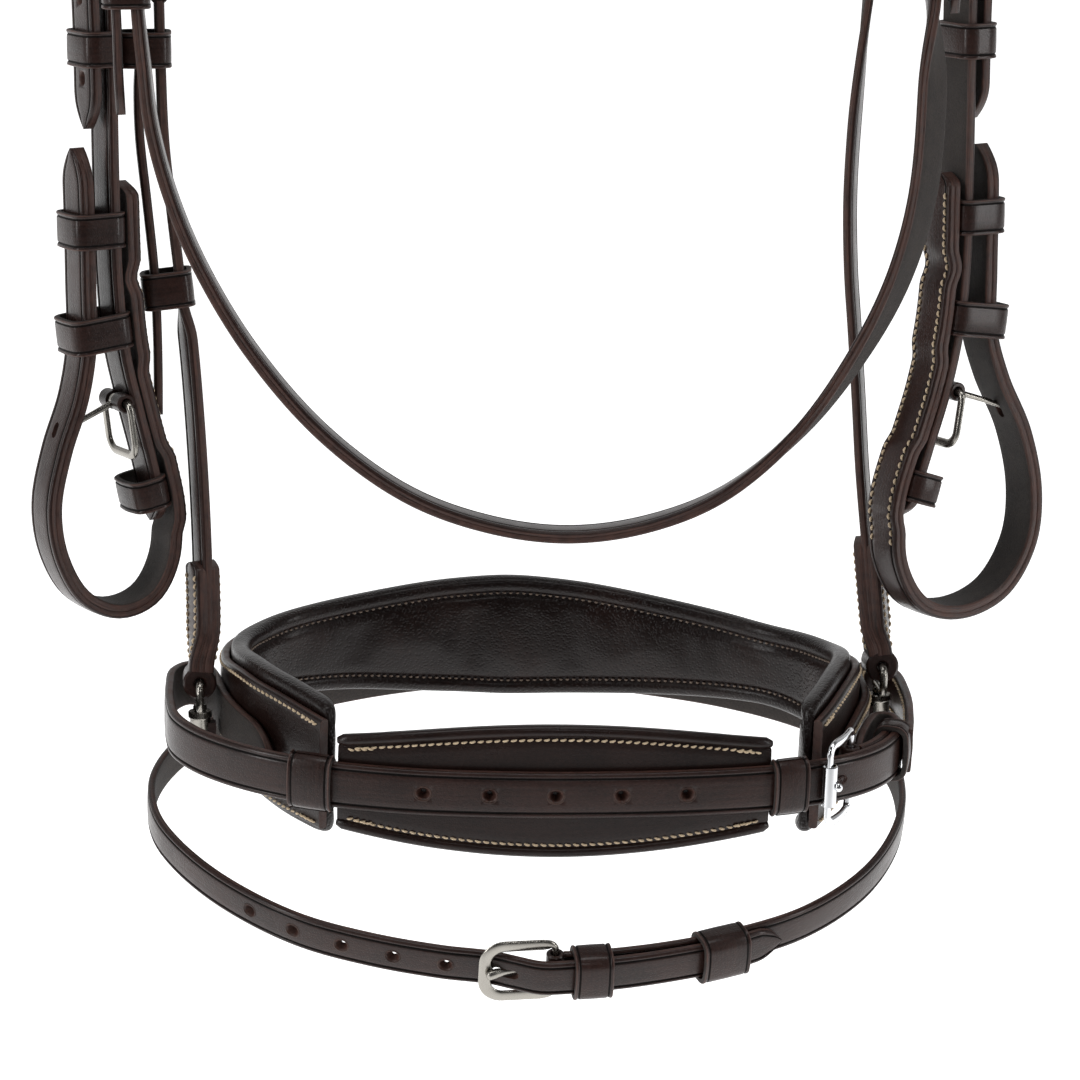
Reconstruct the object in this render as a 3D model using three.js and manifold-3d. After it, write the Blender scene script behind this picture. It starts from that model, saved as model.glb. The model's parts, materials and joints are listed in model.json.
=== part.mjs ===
// A bitless English bridle: headpiece, browband, cheekpieces with bit loops, throatlatch,
// and a padded crank noseband with a flash strap.
// Millimetres, +Z up. The horse's chin and throat are towards -Y, its nose and brow towards +Y.
// The origin is the middle of the poll pad's flat underside, where the bridle rests on the head.
import * as THREE from "three";
import { mergeVertices } from "three/addons/utils/BufferGeometryUtils.js";
import Module from "manifold-3d";

const wasm = await Module();
wasm.setup();

// ---- Driving dimensions ----
const GAP = 0.3;                 // clearance between pieces that touch
const CHEEK_WIDTH = 16;          // cheekpieces and their billets
const THIN_WIDTH = 12;           // noseband hangers and sliphead
const THROAT_WIDTH = 13;         // throatlatch
const FLASH_WIDTH = 13;          // flash strap
const CRANK_WIDTH = 16;          // crank strap over the chin
const CROWN_WIDTH = 36;          // headpiece over the poll
const BROW_WIDTH = 16;           // browband
const STRAP = 3.5;               // bridle leather, single
const THIN_STRAP = 3;            // lighter straps
const LOOP_STRAP = 5;            // the doubled strap that makes the bit loop
const CHEEK_TURN = 25;           // degrees that each hanging cheekpiece is turned about the vertical
const LEFT_CHEEK_X = -141.7;     // where the cheekpieces hang
const RIGHT_CHEEK_X = 144.5;
const CROWN_Y = -10;             // middle of the headpiece and poll pad
const CHEEK_BILLET_Y = 0;
const THROAT_BILLET_Y = -22;
const UPPER_BUCKLE_Z = -168;     // pivot bars of the upper cheek buckles
const LOWER_BUCKLE_Z = -325;     // pivot bars of the lower cheek buckles
const KEEPER_LEVELS = [-267, -301, -358];
const HANGER_BUCKLE_Z = -190;    // pivot bar of the noseband hanger buckle
const THROAT_BUCKLE_Z = -166;    // pivot bars of the throatlatch buckles
const BAR = 2.6;                 // buckle bar thickness
const RIM = 3.2;                 // width of a buckle's sides and front
const BUCKLE_SPAN = 18;          // pivot bar to front bar
const TONGUE = 2.4;              // tongue width
const TONGUE_SLOT = 3.2;         // slot that clears a tongue
const KEEPER_WALL = 1.5;
const KEEPER_LENGTH = 12;        // a keeper's height along its strap
const NOSE_PAD = 9;              // padding on the noseband
const NOSE_LEATHER = 3.2;        // leather on the noseband
const CHIN_PAD = 7;
const POLL_PAD = 12.2;
const HOLE = 4.5;                // strap holes
const HOLE_PITCH = 22;

const LEATHER = { color: 0x2c2320, roughness: 0.5, metalness: 0 };
const PADDING = { color: 0x261e1c, roughness: 0.65, metalness: 0 };
const STEEL = { color: 0xb9b7b0, roughness: 0.3, metalness: 1 };
const CHROME = { color: 0xdcdedf, roughness: 0.12, metalness: 1 };

const bridle = new THREE.Group();
const vec = (x, y, z) => new THREE.Vector3(x, y, z);
const UP = vec(0, 0, 1);
const rad = THREE.MathUtils.degToRad;

// ---- Solids: joining and cutting ----
function solid(geometry) {
  const bare = geometry.index ? geometry.toNonIndexed() : geometry.clone();
  bare.deleteAttribute("normal");
  bare.deleteAttribute("uv");
  const merged = mergeVertices(bare, 1e-3);
  return new wasm.Manifold(new wasm.Mesh({
    numProp: 3,
    vertProperties: merged.attributes.position.array,
    triVerts: new Uint32Array(merged.index.array),
  }));
}

function geometryOf(manifold) {
  const { vertProperties, triVerts } = manifold.getMesh();
  const geometry = new THREE.BufferGeometry();
  geometry.setAttribute("position", new THREE.BufferAttribute(vertProperties, 3));
  geometry.setIndex(new THREE.BufferAttribute(triVerts, 1));
  return geometry.toNonIndexed();
}

function join(...geometries) {
  return geometryOf(geometries.map(solid).reduce((a, b) => a.add(b)));
}

function cut(geometry, ...cutters) {
  return geometryOf(cutters.map(solid).reduce((a, b) => a.subtract(b), solid(geometry)));
}

// ---- Placing ----
// A frame has an origin p and unit directions n (outward), w (across) and t (along), right-handed.
function matrixOf({ p, n, w, t }) {
  return new THREE.Matrix4().makeBasis(n, w, t).setPosition(p);
}

function add(name, geometry, finish, frame) {
  const mesh = new THREE.Mesh(geometry, new THREE.MeshStandardMaterial(finish));
  mesh.name = name;
  if (frame) {
    mesh.quaternion.setFromRotationMatrix(matrixOf(frame));
    mesh.position.copy(frame.p);
  }
  mesh.geometry.computeVertexNormals();
  bridle.add(mesh);
  return mesh;
}

// ---- Routes: a smooth line with a width direction along it ----
class Route {
  // points: [x, y, z] in mm; widths: [fraction of length, Vector3] pairs, or one Vector3
  constructor(points, widths) {
    this.curve = new THREE.CatmullRomCurve3(points.map((p) => vec(...p)));
    this.curve.arcLengthDivisions = 600;
    this.length = this.curve.getLength();
    this.widths = widths.isVector3 ? [[0, widths], [1, widths]] : widths;
  }

  widthAt(u) {
    const last = this.widths.length - 2;
    const i = Math.min(last, this.widths.filter(([f]) => f <= u).length - 1);
    const [f0, w0] = this.widths[i];
    const [f1, w1] = this.widths[i + 1];
    return w0.clone().lerp(w1, THREE.MathUtils.smoothstep(u, f0, f1)).normalize();
  }

  at(mm) {
    const u = THREE.MathUtils.clamp(mm / this.length, 0, 1);
    const p = this.curve.getPointAt(u);
    const t = this.curve.getTangentAt(u);
    const n = this.widthAt(u).cross(t).normalize();
    const w = t.clone().cross(n);
    p.addScaledVector(t, mm - u * this.length);
    return { p, n, w, t };
  }

  // The distance along the route where its height first passes z.
  whereZ(z, start = 0) {
    const side = Math.sign(this.at(start).p.z - z);
    let mm = start;
    while (mm < this.length && Math.sign(this.at(mm).p.z - z) === side) mm += 0.5;
    return mm;
  }

  // The distance along the route of its point nearest to p.
  nearest(p) {
    let best = 0;
    for (let mm = 0; mm <= this.length; mm += 0.5) {
      if (this.at(mm).p.distanceTo(p) < this.at(best).p.distanceTo(p)) best = mm;
    }
    return best;
  }
}

// A table of [place, value] pairs read as a smooth line.
function profile(pairs) {
  return (s) => {
    let i = pairs.findIndex(([x]) => x > s) - 1;
    if (i === -2) i = pairs.length - 2;
    i = Math.max(0, i);
    const [x0, y0] = pairs[i];
    const [x1, y1] = pairs[i + 1];
    return THREE.MathUtils.lerp(y0, y1, THREE.MathUtils.smoothstep(s, x0, x1));
  };
}

// A flat strap that follows a route between two places, from offset low to offset high along n.
// A tip is the length over which an end narrows to a point. Low, high and width can vary along it.
function strap(route, { from = 0, to = route.length, low, high, width, steps, startTip = 0, endTip = 0 }) {
  const lengthwise = new THREE.BoxGeometry(1, 1, 1, steps, 1, 1);
  const place = lengthwise.attributes.position;
  const at = (value, mm) => (typeof value === "function" ? value(mm) : value);
  for (let i = 0; i < place.count; i += 1) {
    const mm = from + (place.getX(i) + 0.5) * (to - from);
    const tip = Math.min(
      startTip ? Math.min(1, (mm - from) / startTip) : 1,
      endTip ? Math.min(1, (to - mm) / endTip) : 1,
    );
    const across = at(width, mm) * (0.2 + 0.8 * Math.sin((tip * Math.PI) / 2));
    const { p, n, w } = route.at(mm);
    p.addScaledVector(n, at(place.getY(i) > 0 ? high : low, mm));
    p.addScaledVector(w, place.getZ(i) * across);
    place.setXYZ(i, p.x, p.y, p.z);
  }
  return lengthwise;
}

// ---- Small pieces ----
function roundedRectangle(path, x0, y0, x1, y1, r) {
  path.moveTo(x0 + r, y0);
  path.lineTo(x1 - r, y0);
  path.absarc(x1 - r, y0 + r, r, -Math.PI / 2, 0, false);
  path.lineTo(x1, y1 - r);
  path.absarc(x1 - r, y1 - r, r, 0, Math.PI / 2, false);
  path.lineTo(x0 + r, y1);
  path.absarc(x0 + r, y1 - r, r, Math.PI / 2, Math.PI, false);
  path.lineTo(x0, y0 + r);
  path.absarc(x0 + r, y0 + r, r, Math.PI, 1.5 * Math.PI, false);
  return path;
}

function rectangle(x0, y0, x1, y1) {
  return new THREE.Path([[x0, y0], [x1, y0], [x1, y1], [x0, y1]].map(([x, y]) => new THREE.Vector2(x, y)));
}

// A leather loop round a stack of straps that spans offsets low to high, in the frame of a route.
function keeperGeometry(low, high, width, length = KEEPER_LENGTH) {
  const half = width / 2 + GAP;
  const outline = new THREE.Shape();
  roundedRectangle(outline, low - GAP - KEEPER_WALL, -half - KEEPER_WALL,
    high + GAP + KEEPER_WALL, half + KEEPER_WALL, 1.2);
  outline.holes.push(rectangle(low - GAP, -half, high + GAP, half));
  const ring = new THREE.ExtrudeGeometry(outline, { depth: length, bevelEnabled: false, curveSegments: 1 });
  return ring.translate(0, 0, -length / 2);
}

function keeper(name, route, mm, low, high, width, length) {
  return add(name, keeperGeometry(low, high, width, length), LEATHER, route.at(mm));
}

// A buckle's own frame: p at its pivot bar, w along the bar, t towards the front bar, n outward.
function buckleFrame(p, toFront, outward) {
  const t = toFront.clone().normalize();
  const n = outward.clone().addScaledVector(t, -outward.dot(t)).normalize();
  return { p, n, w: t.clone().cross(n), t };
}

// A ring round an opening, from its pivot bar at 0 to its front bar at span. Room is the space left
// beside a strap of the given width, and rim the width of the sides and front.
function ringGeometry(width, span, bar, room = 1, rim = bar) {
  const outline = new THREE.Shape();
  const half = width / 2 + room;
  const bevel = 0.7;
  const front = span - bar / 2;
  const side = half + rim - bevel;
  roundedRectangle(outline, -side, -bar / 2 + bevel, side, front + rim - bevel, 1.6);
  const inside = new THREE.Path();
  roundedRectangle(inside, -half - bevel, bar / 2 - bevel, half + bevel, front + bevel, 1);
  outline.holes.push(inside);
  const ring = new THREE.ExtrudeGeometry(outline, {
    depth: bar - 2 * bevel, bevelThickness: bevel, bevelSize: bevel, bevelSegments: 1, curveSegments: 1,
  });
  ring.translate(0, 0, -bar / 2 + bevel);
  // The outline's x, y and depth become the buckle's w, t and n.
  return ring.applyMatrix4(new THREE.Matrix4().makeBasis(vec(0, 1, 0), UP, vec(1, 0, 0)));
}

// A tongue turns on the pivot bar and reaches along t, raised by lift at the distance reach.
function tongueGeometry(reach, lift, bar) {
  const eye = bar / 2 + GAP;
  const outer = eye + 1.1;
  const half = 1;
  const arm = Math.hypot(reach, lift);
  const outline = new THREE.Shape();
  const shoulder = Math.asin(half / outer);
  outline.absarc(0, 0, outer, shoulder, 2 * Math.PI - shoulder, false);
  outline.lineTo(arm - half, -half);
  outline.absarc(arm - half, 0, half, -Math.PI / 2, Math.PI / 2, false);
  const hole = new THREE.Path();
  hole.absarc(0, 0, eye, 0, 2 * Math.PI, true);
  outline.holes.push(hole);
  const body = new THREE.ExtrudeGeometry(outline, { depth: TONGUE, bevelEnabled: false, curveSegments: 4 });
  body.translate(0, 0, -TONGUE / 2);
  body.rotateZ(Math.atan2(lift, reach));
  // The outline's x, y and depth become the buckle's t, n and -w.
  return body.applyMatrix4(new THREE.Matrix4().makeBasis(UP, vec(1, 0, 0), vec(0, 1, 0)));
}

// The folded leather eye that holds a buckle's pivot bar.
function eyeGeometry(width, bar) {
  const outline = new THREE.Shape();
  outline.absarc(0, 0, bar / 2 + 2, 0, 2 * Math.PI, false);
  const eye = new THREE.ExtrudeGeometry(outline, { depth: width, bevelEnabled: false, curveSegments: 5 });
  eye.translate(0, 0, -width / 2);
  return eye.applyMatrix4(new THREE.Matrix4().makeBasis(UP, vec(1, 0, 0), vec(0, 1, 0)));
}

function barHole(width, bar) {
  const outline = new THREE.Shape();
  outline.absarc(0, 0, bar / 2 + GAP + 0.15, 0, 2 * Math.PI, false);
  const depth = width + 4;
  const hole = new THREE.ExtrudeGeometry(outline, { depth, bevelEnabled: false, curveSegments: 4 });
  hole.translate(0, 0, -width / 2 - 2);
  return hole.applyMatrix4(new THREE.Matrix4().makeBasis(UP, vec(1, 0, 0), vec(0, 1, 0)));
}

// A box in a frame's own n, w and t directions.
function boxIn(frame, n0, n1, width, t0, t1) {
  const box = new THREE.BoxGeometry(n1 - n0, width, t1 - t0);
  box.translate((n0 + n1) / 2, 0, (t0 + t1) / 2);
  return box.applyMatrix4(matrixOf(frame));
}

function holeCutters(route, places, low, high) {
  return places.map((mm) => {
    const round = new THREE.CylinderGeometry(HOLE / 2, HOLE / 2, high - low + 2, 6);
    round.rotateZ(-Math.PI / 2);
    round.translate((low + high) / 2, 0, 0);
    return round.applyMatrix4(matrixOf(route.at(mm)));
  });
}

// A buckle: a frame and a tongue as nodes, and the cutters and eye that its straps need.
function buckle(name, frame, options) {
  const { width, span = BUCKLE_SPAN, bar = BAR, room = 1, rim = RIM, reach, lift, finish = STEEL } = options;
  const armReach = reach ?? span + 0.6;
  const armLift = lift ?? bar / 2 + GAP + 1.2;
  add(name + "_frame", ringGeometry(width, span, bar, room, rim), finish, frame);
  add(name + "_tongue", tongueGeometry(armReach, armLift, bar), finish, frame);
  const turn = bar / 2 + GAP + 1.1 + 0.5;
  const place = matrixOf(frame);
  return {
    eye: eyeGeometry(width, bar).applyMatrix4(place),
    eyeCutters: [
      barHole(width, bar).applyMatrix4(place),
      boxIn(frame, -turn, turn, TONGUE_SLOT, -turn, turn + 1),
      boxIn(frame, 0, turn + 6, TONGUE_SLOT, -1, turn + 5),
    ],
    billetSlot: boxIn(frame, -8, 16, TONGUE_SLOT, -1.5, span - bar / 2 - 0.5),
  };
}

// ---- Headpiece, poll pad and sliphead ----
const ARCH_Z = -100;             // level at which the arch over the poll becomes straight

function archPoint(a, b, degrees, y) {
  const angle = rad(degrees);
  return [a * Math.sin(angle), y, ARCH_Z + b * Math.cos(angle)];
}

function archPoints(a, b, y, from, to, count) {
  return Array.from({ length: count }, (_, i) =>
    archPoint(a, b, THREE.MathUtils.lerp(from, to, i / (count - 1)), y));
}

const CROWN_A = 138;             // the headpiece's half width and rise over the poll
const CROWN_B = 117.5;
const ACROSS = vec(0, 1, 0);     // width direction of straps that run over the poll from left to right

function pollPad() {
  const underside = 0.5;         // how far the flat is let into the pad's curved underside
  const route = new Route(archPoints(104, -ARCH_Z - underside, CROWN_Y, -52, 52, 15), ACROSS);
  const pad = strap(route, {
    low: -POLL_PAD, high: 0, width: 60, steps: 13, startTip: 20, endTip: 20,
  });
  const flat = new THREE.BoxGeometry(24, 44, 8).translate(0, CROWN_Y, -4);
  add("poll_pad", cut(pad, flat), PADDING);
}

// ---- Cheekpieces ----
// A cheekpiece hangs in an upright plane: s is the distance outward from its inner seam.
class Cheek {
  constructor(side, x, loopPoints) {
    this.side = side;
    this.name = side < 0 ? "left" : "right";
    this.origin = vec(x, CHEEK_BILLET_Y, 0);
    const turn = rad(CHEEK_TURN);
    this.out = vec(side * Math.cos(turn), side * Math.sin(turn), 0);
    this.wide = vec(0, 0, -1).cross(this.out);
    this.loopPoints = loopPoints;
  }

  at(s, z) {
    return this.origin.clone().addScaledVector(this.out, s).setZ(z);
  }

  route(points) {
    return new Route(points.map(([s, z]) => this.at(s, z).toArray()), this.wide);
  }
}

const cheeks = [
  new Cheek(-1, LEFT_CHEEK_X, [
    [0, -172], [0, -215], [0, -255], [-0.6, -285], [-2.6, -308], [-7, -328], [-12, -348], [-15.4, -366],
    [-14.6, -382], [-8, -393], [3, -396], [14, -390.5], [21.5, -377], [23.6, -361], [19.6, -343], [13, -325],
    [9.6, -307], [9.3, -285], [9.3, -265], [9.6, -240],
  ]),
  new Cheek(1, RIGHT_CHEEK_X, [
    [0, -172], [0, -215], [0, -255], [-0.4, -283], [-2.6, -305], [-7.6, -326], [-14.6, -346], [-20.6, -365],
    [-21, -384], [-12, -398.5], [2.4, -402.5], [18.6, -397.5], [28.8, -383], [30.6, -366], [25.6, -345],
    [15.6, -325], [9.8, -307], [9.3, -286], [9.3, -266], [9, -243],
  ]),
];

// Where a billet that comes down through a buckle lies, as [s, height above the pivot bar].
function billetPath(top, tail) {
  return [
    ...top, [-0.9, 30], [-0.6, 23], [0.1, 17.5], [3, 11], [6.4, 5], [8.1, 0], [8.6, -7], [8.3, -16], ...tail,
  ];
}

function cheekpiece(cheek) {
  const spine = cheek.route(cheek.loopPoints);
  const { name, out } = cheek;
  const end = spine.whereZ(-369);

  // Upper buckle, held by the eye at the top of the cheek strap.
  const upperPivot = cheek.at(STRAP / 2 + 0.15, UPPER_BUCKLE_Z);
  const upper = buckle("cheek_upper_buckle_" + name,
    buckleFrame(upperPivot, vec(0, 0, BUCKLE_SPAN).addScaledVector(out, 3.1), out), { width: CHEEK_WIDTH });

  // Lower buckle, on the outer face, its tongue in the hole of the loop strap's returning end.
  const lowerPlace = spine.at(spine.whereZ(LOWER_BUCKLE_Z));
  const lowerPivot = lowerPlace.p.clone().addScaledVector(lowerPlace.n, STRAP + 2.6);
  const hole = spine.whereZ(-337, spine.whereZ(-390));
  const holePlace = spine.at(hole);
  const target = holePlace.p.clone().addScaledVector(holePlace.n, -LOOP_STRAP / 2);
  const lowerAlong = lowerPlace.t.clone().addScaledVector(lowerPlace.n, 0.12);
  const lowerFrame = buckleFrame(lowerPivot, lowerAlong, lowerPlace.n);
  const reach = target.clone().sub(lowerPivot).dot(lowerFrame.t);
  const lift = target.clone().sub(lowerPivot).dot(lowerFrame.n);
  const lower = buckle("cheek_lower_buckle_" + name, lowerFrame, { width: CHEEK_WIDTH, reach, lift });

  const strapBody = strap(spine, {
    from: -1, to: end, low: 0.15, high: 0.15 + STRAP, width: CHEEK_WIDTH, steps: 22, endTip: 8,
  });
  const whole = join(strapBody, upper.eye, lower.eye);
  add("cheek_strap_" + name, cut(whole, ...upper.eyeCutters, ...lower.eyeCutters), LEATHER);

  // The loop strap bends inward round the inner wall of each keeper.
  const keeperPlaces = KEEPER_LEVELS.map((z) => spine.whereZ(z));
  const bulge = (mm) => {
    const away = Math.min(...keeperPlaces.map((place) => Math.abs(mm - place)));
    return (KEEPER_WALL + GAP) * (1 - THREE.MathUtils.smoothstep(away, 10, 17));
  };
  const loopBody = strap(spine, {
    from: spine.whereZ(-252), low: (mm) => -0.15 - LOOP_STRAP - bulge(mm), high: (mm) => -0.15 - bulge(mm),
    width: CHEEK_WIDTH, steps: 46, endTip: 14,
  });
  const tongueSlot = boxIn(holePlace, -LOOP_STRAP - 4, 4, TONGUE_SLOT, -5.5, 5.5);
  const spare = spine.whereZ(-300, hole);
  const holes = holeCutters(spine, [spare], -LOOP_STRAP - 0.15, -0.15);
  add("bit_loop_strap_" + name, cut(loopBody, tongueSlot, ...holes), LEATHER);

  // Keepers that hold the returning end against the cheek strap.
  ["upper", "lower"].forEach((which, i) => {
    const z = KEEPER_LEVELS[i];
    const inner = spine.at(spine.whereZ(z));
    const reaches = [z - 9, z, z + 7].map((level) =>
      spine.at(spine.whereZ(level, hole - 12)).p.sub(inner.p).dot(inner.n));
    const apart = Math.max(...reaches) + LOOP_STRAP + 0.15;
    add("billet_keeper_" + which + "_" + name, keeperGeometry(0.2, apart + 0.4, CHEEK_WIDTH), LEATHER, inner);
  });

  // The empty keeper below the lower buckle.
  keeper("empty_keeper_" + name, spine, keeperPlaces[2], 0.2, STRAP + 5.5, CHEEK_WIDTH, 11);
  return { cheek, spine, upper };
}

const cheekParts = cheeks.map(cheekpiece);

// The first points of a billet, inside the end of the headpiece's band.
function crownEnd(side, y) {
  return [archPoint(CROWN_A, CROWN_B, side * 74, y), archPoint(CROWN_A, CROWN_B, side * 82, y)];
}

// A billet of the headpiece, from the arch down through an upper cheek buckle.
function cheekBillet({ cheek, upper }) {
  const { side, name, out } = cheek;
  const arch = [...crownEnd(side, CHEEK_BILLET_Y), [side * 139.4, CHEEK_BILLET_Y, -106]];
  const lower = billetPath([], [[7.9, -32], [7.8, -48], [7.8, -66]])
    .map(([s, rise]) => cheek.at(s, UPPER_BUCKLE_Z + rise).toArray());
  const straight = vec(0, 0, -1).cross(vec(side, 0, 0));
  const turning = [[0, straight], [0.2, straight], [0.34, cheek.wide], [1, cheek.wide]];
  const route = new Route([...arch, ...lower], turning);
  const body = strap(route, { low: -STRAP / 2, high: STRAP / 2, width: CHEEK_WIDTH, steps: 18, endTip: 14 });
  const keeperPlace = route.whereZ(-207);
  const inner = cheek.at(STRAP / 2, -207);
  const apart = route.at(keeperPlace).p.clone().sub(inner).dot(out);
  const place = { p: inner, n: out, w: vec(0, 0, -1).cross(out), t: vec(0, 0, -1) };
  add("cheek_upper_keeper_" + name, keeperGeometry(-STRAP / 2 + 0.1, apart + STRAP / 2 + 0.2, CHEEK_WIDTH),
    LEATHER, place);
  return cut(body, upper.billetSlot);
}

// ---- Throatlatch ----
const THROAT_LEFT = vec(-130.5, -34, 0);
const THROAT_RIGHT = vec(129, -34, 0);
const TOWARDS_THROAT = vec(0, -1, 0);
const throatWide = {
  left: vec(0.09, 1, 0).normalize().negate(),
  right: vec(0.68, 0.73, 0).normalize().negate(),
};

function throatEnd(side, foot) {
  const out = vec(side, 0, 0);
  const pivot = foot.clone().setZ(THROAT_BUCKLE_Z).addScaledVector(out, 1.5);
  const name = "throat_buckle_" + (side < 0 ? "left" : "right");
  const set = buckle(name, buckleFrame(pivot, vec(side * 3.1, 0, BUCKLE_SPAN), out), { width: THROAT_WIDTH });
  const tailLength = side < 0 ? [[7.8, -32], [7.6, -46], [7, -60]] : [[8.4, -22], [8.8, -29]];
  const lower = billetPath([], tailLength)
    .map(([s, rise]) => foot.clone().addScaledVector(out, s).setZ(THROAT_BUCKLE_Z + rise).toArray());
  const arch = [
    ...crownEnd(side, THROAT_BILLET_Y), [side * 138.8, THROAT_BILLET_Y, -104], [side * 138, -26, -121],
  ];
  const direction = vec(0, 0, -1).cross(out);
  const route = new Route([...arch, ...lower], direction);
  const half = THIN_STRAP / 2;
  const body = strap(route, { low: -half, high: half, width: THIN_WIDTH, steps: 18, endTip: 12 });
  const keeperZ = side < 0 ? -186 : -184;
  const place = { p: foot.clone().setZ(keeperZ), n: out, w: vec(0, 0, -1).cross(out), t: vec(0, 0, -1) };
  const apart = route.at(route.whereZ(keeperZ)).p.clone().sub(place.p).dot(out);
  add("throat_keeper_" + (side < 0 ? "left" : "right"),
    keeperGeometry(-1.3, apart + THIN_STRAP / 2 + 0.3, THROAT_WIDTH, 10), LEATHER, place);
  return { set, billet: cut(body, set.billetSlot) };
}

const throatEnds = [throatEnd(-1, THROAT_LEFT), throatEnd(1, THROAT_RIGHT)];

function throatlatch() {
  const z = THROAT_BUCKLE_Z - 2.5;
  const start = THROAT_LEFT.clone().setX(THROAT_LEFT.x - 1.5).setZ(z);
  const finish = THROAT_RIGHT.clone().setX(THROAT_RIGHT.x + 1.5).setZ(z);
  const route = new Route([
    start.toArray(), [-131.6, -34, -190], [-130, -35.5, -208], [-127.5, -38, -230], [-121.5, -41, -253],
    [-112, -44, -276], [-96, -47, -303], [-73, -50, -330], [-46, -51, -350.5], [-20, -51, -361],
    [7, -51, -365.3], [34, -50, -362.6], [60, -49, -353], [86, -47, -332.5], [106, -46, -306],
    [119, -43, -282], [127, -40, -255.5], [130.4, -36, -222], [130.6, -34, -190], finish.toArray(),
  ], [
    [0, TOWARDS_THROAT], [0.1, throatWide.left], [0.5, throatWide.left], [0.86, throatWide.right],
    [0.9, throatWide.right], [0.97, TOWARDS_THROAT], [1, TOWARDS_THROAT],
  ]);
  const body = strap(route, {
    low: -2, high: 2, width: THROAT_WIDTH, steps: 36,
  });
  const whole = join(body, ...throatEnds.map((e) => e.set.eye));
  add("throatlatch", cut(whole, ...throatEnds.flatMap((e) => e.set.eyeCutters)), LEATHER);
}

// ---- Headpiece ----
function headpiece() {
  const route = new Route(archPoints(CROWN_A, CROWN_B, CROWN_Y, -79, 79, 17), ACROSS);
  const band = strap(route, { low: -STRAP / 2, high: STRAP / 2, width: CROWN_WIDTH, steps: 20 });
  const billets = cheekParts.map(cheekBillet);
  add("headpiece", join(band, ...billets, ...throatEnds.map((e) => e.billet)), LEATHER);
}

function browband() {
  const wide = vec(0, 0, 1);
  const route = new Route([
    [-140, 14, -112], [-128, 46, -114], [-98, 76, -117], [-50, 95, -119.5], [0, 101, -120.5],
    [50, 95, -119.5], [98, 76, -117], [128, 46, -114], [140, 14, -112],
  ], wide);
  const band = strap(route, { low: -2, high: 2, width: BROW_WIDTH, steps: 24 });
  const loops = [-1, 1].map((side) => {
    const outline = new THREE.Shape();
    roundedRectangle(outline, -7.6, -37, 7.6, 16, 3);
    outline.holes.push(rectangle(-5.8, -35, 5.8, 13));
    const loop = new THREE.ExtrudeGeometry(outline, { depth: 15, bevelEnabled: false, curveSegments: 2 });
    return loop.translate(side * 140.6, 0, -119.5);
  });
  add("browband", join(band, ...loops), LEATHER);
}

// ---- Noseband hangers ----
const BAIL_LEFT = vec(-114.8, 4, -426);   // middle of each bail's crossbar
const BAIL_RIGHT = vec(123.5, 8, -426);
const HANGER_WIDE = vec(0, 1, 0);    // width direction of a strap that hangs with its outer face to the side

function lowerFold(bail) {
  const outline = new THREE.Shape();
  outline.absarc(0, 0, 5.8, 0, 2 * Math.PI, false);
  const inside = new THREE.Path();
  inside.absarc(0, 0, 1.9, 0, 2 * Math.PI, true);
  outline.holes.push(inside);
  const ring = new THREE.ExtrudeGeometry(
    outline, { depth: THIN_WIDTH, bevelEnabled: false, curveSegments: 7 },
  );
  ring.translate(0, 0, -THIN_WIDTH / 2);
  ring.rotateX(Math.PI / 2);
  return ring.translate(bail.x, bail.y, bail.z);
}

function leftHanger() {
  const out = vec(-1, 0, 0);
  const foot = vec(-124.5, 8, HANGER_BUCKLE_Z);
  const frame = buckleFrame(foot.clone(), vec(-3.1, 0, BUCKLE_SPAN), out);
  const set = buckle("hanger_buckle", frame, { width: THIN_WIDTH });
  const top = BAIL_LEFT.z + 4;
  const route = new Route([
    [-124.5, 8, HANGER_BUCKLE_Z - 2], [-124.3, 8, -215], [-123.6, 7.6, -240], [-121.4, 7.2, -264],
    [-119, 6.8, -287],
    [-116.6, 6.2, -310], [-115, 5.6, -334], [-113.8, 5, -360], [-113.2, 4.5, -385], [-113.2, 4, -408],
    [-114.2, 4, top],
  ], HANGER_WIDE);
  const single = strap(route, { low: -STRAP / 2, high: STRAP / 2, width: THIN_WIDTH, steps: 24 });
  const doubled = strap(route, {
    from: route.whereZ(-384), low: -4.3, high: 4.3, width: THIN_WIDTH, steps: 4,
  });
  const whole = join(single, doubled, lowerFold(BAIL_LEFT), set.eye);
  add("hanger_left", cut(whole, ...set.eyeCutters), LEATHER);

  const place = (z) => ({ p: route.at(route.whereZ(z)).p, n: out, w: vec(0, 0, -1).cross(out), t: vec(0, 0, -1) });
  add("hanger_keeper", keeperGeometry(-STRAP / 2, 12, THIN_WIDTH, 12), LEATHER, place(-208));
  return { set, route };
}

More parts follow.
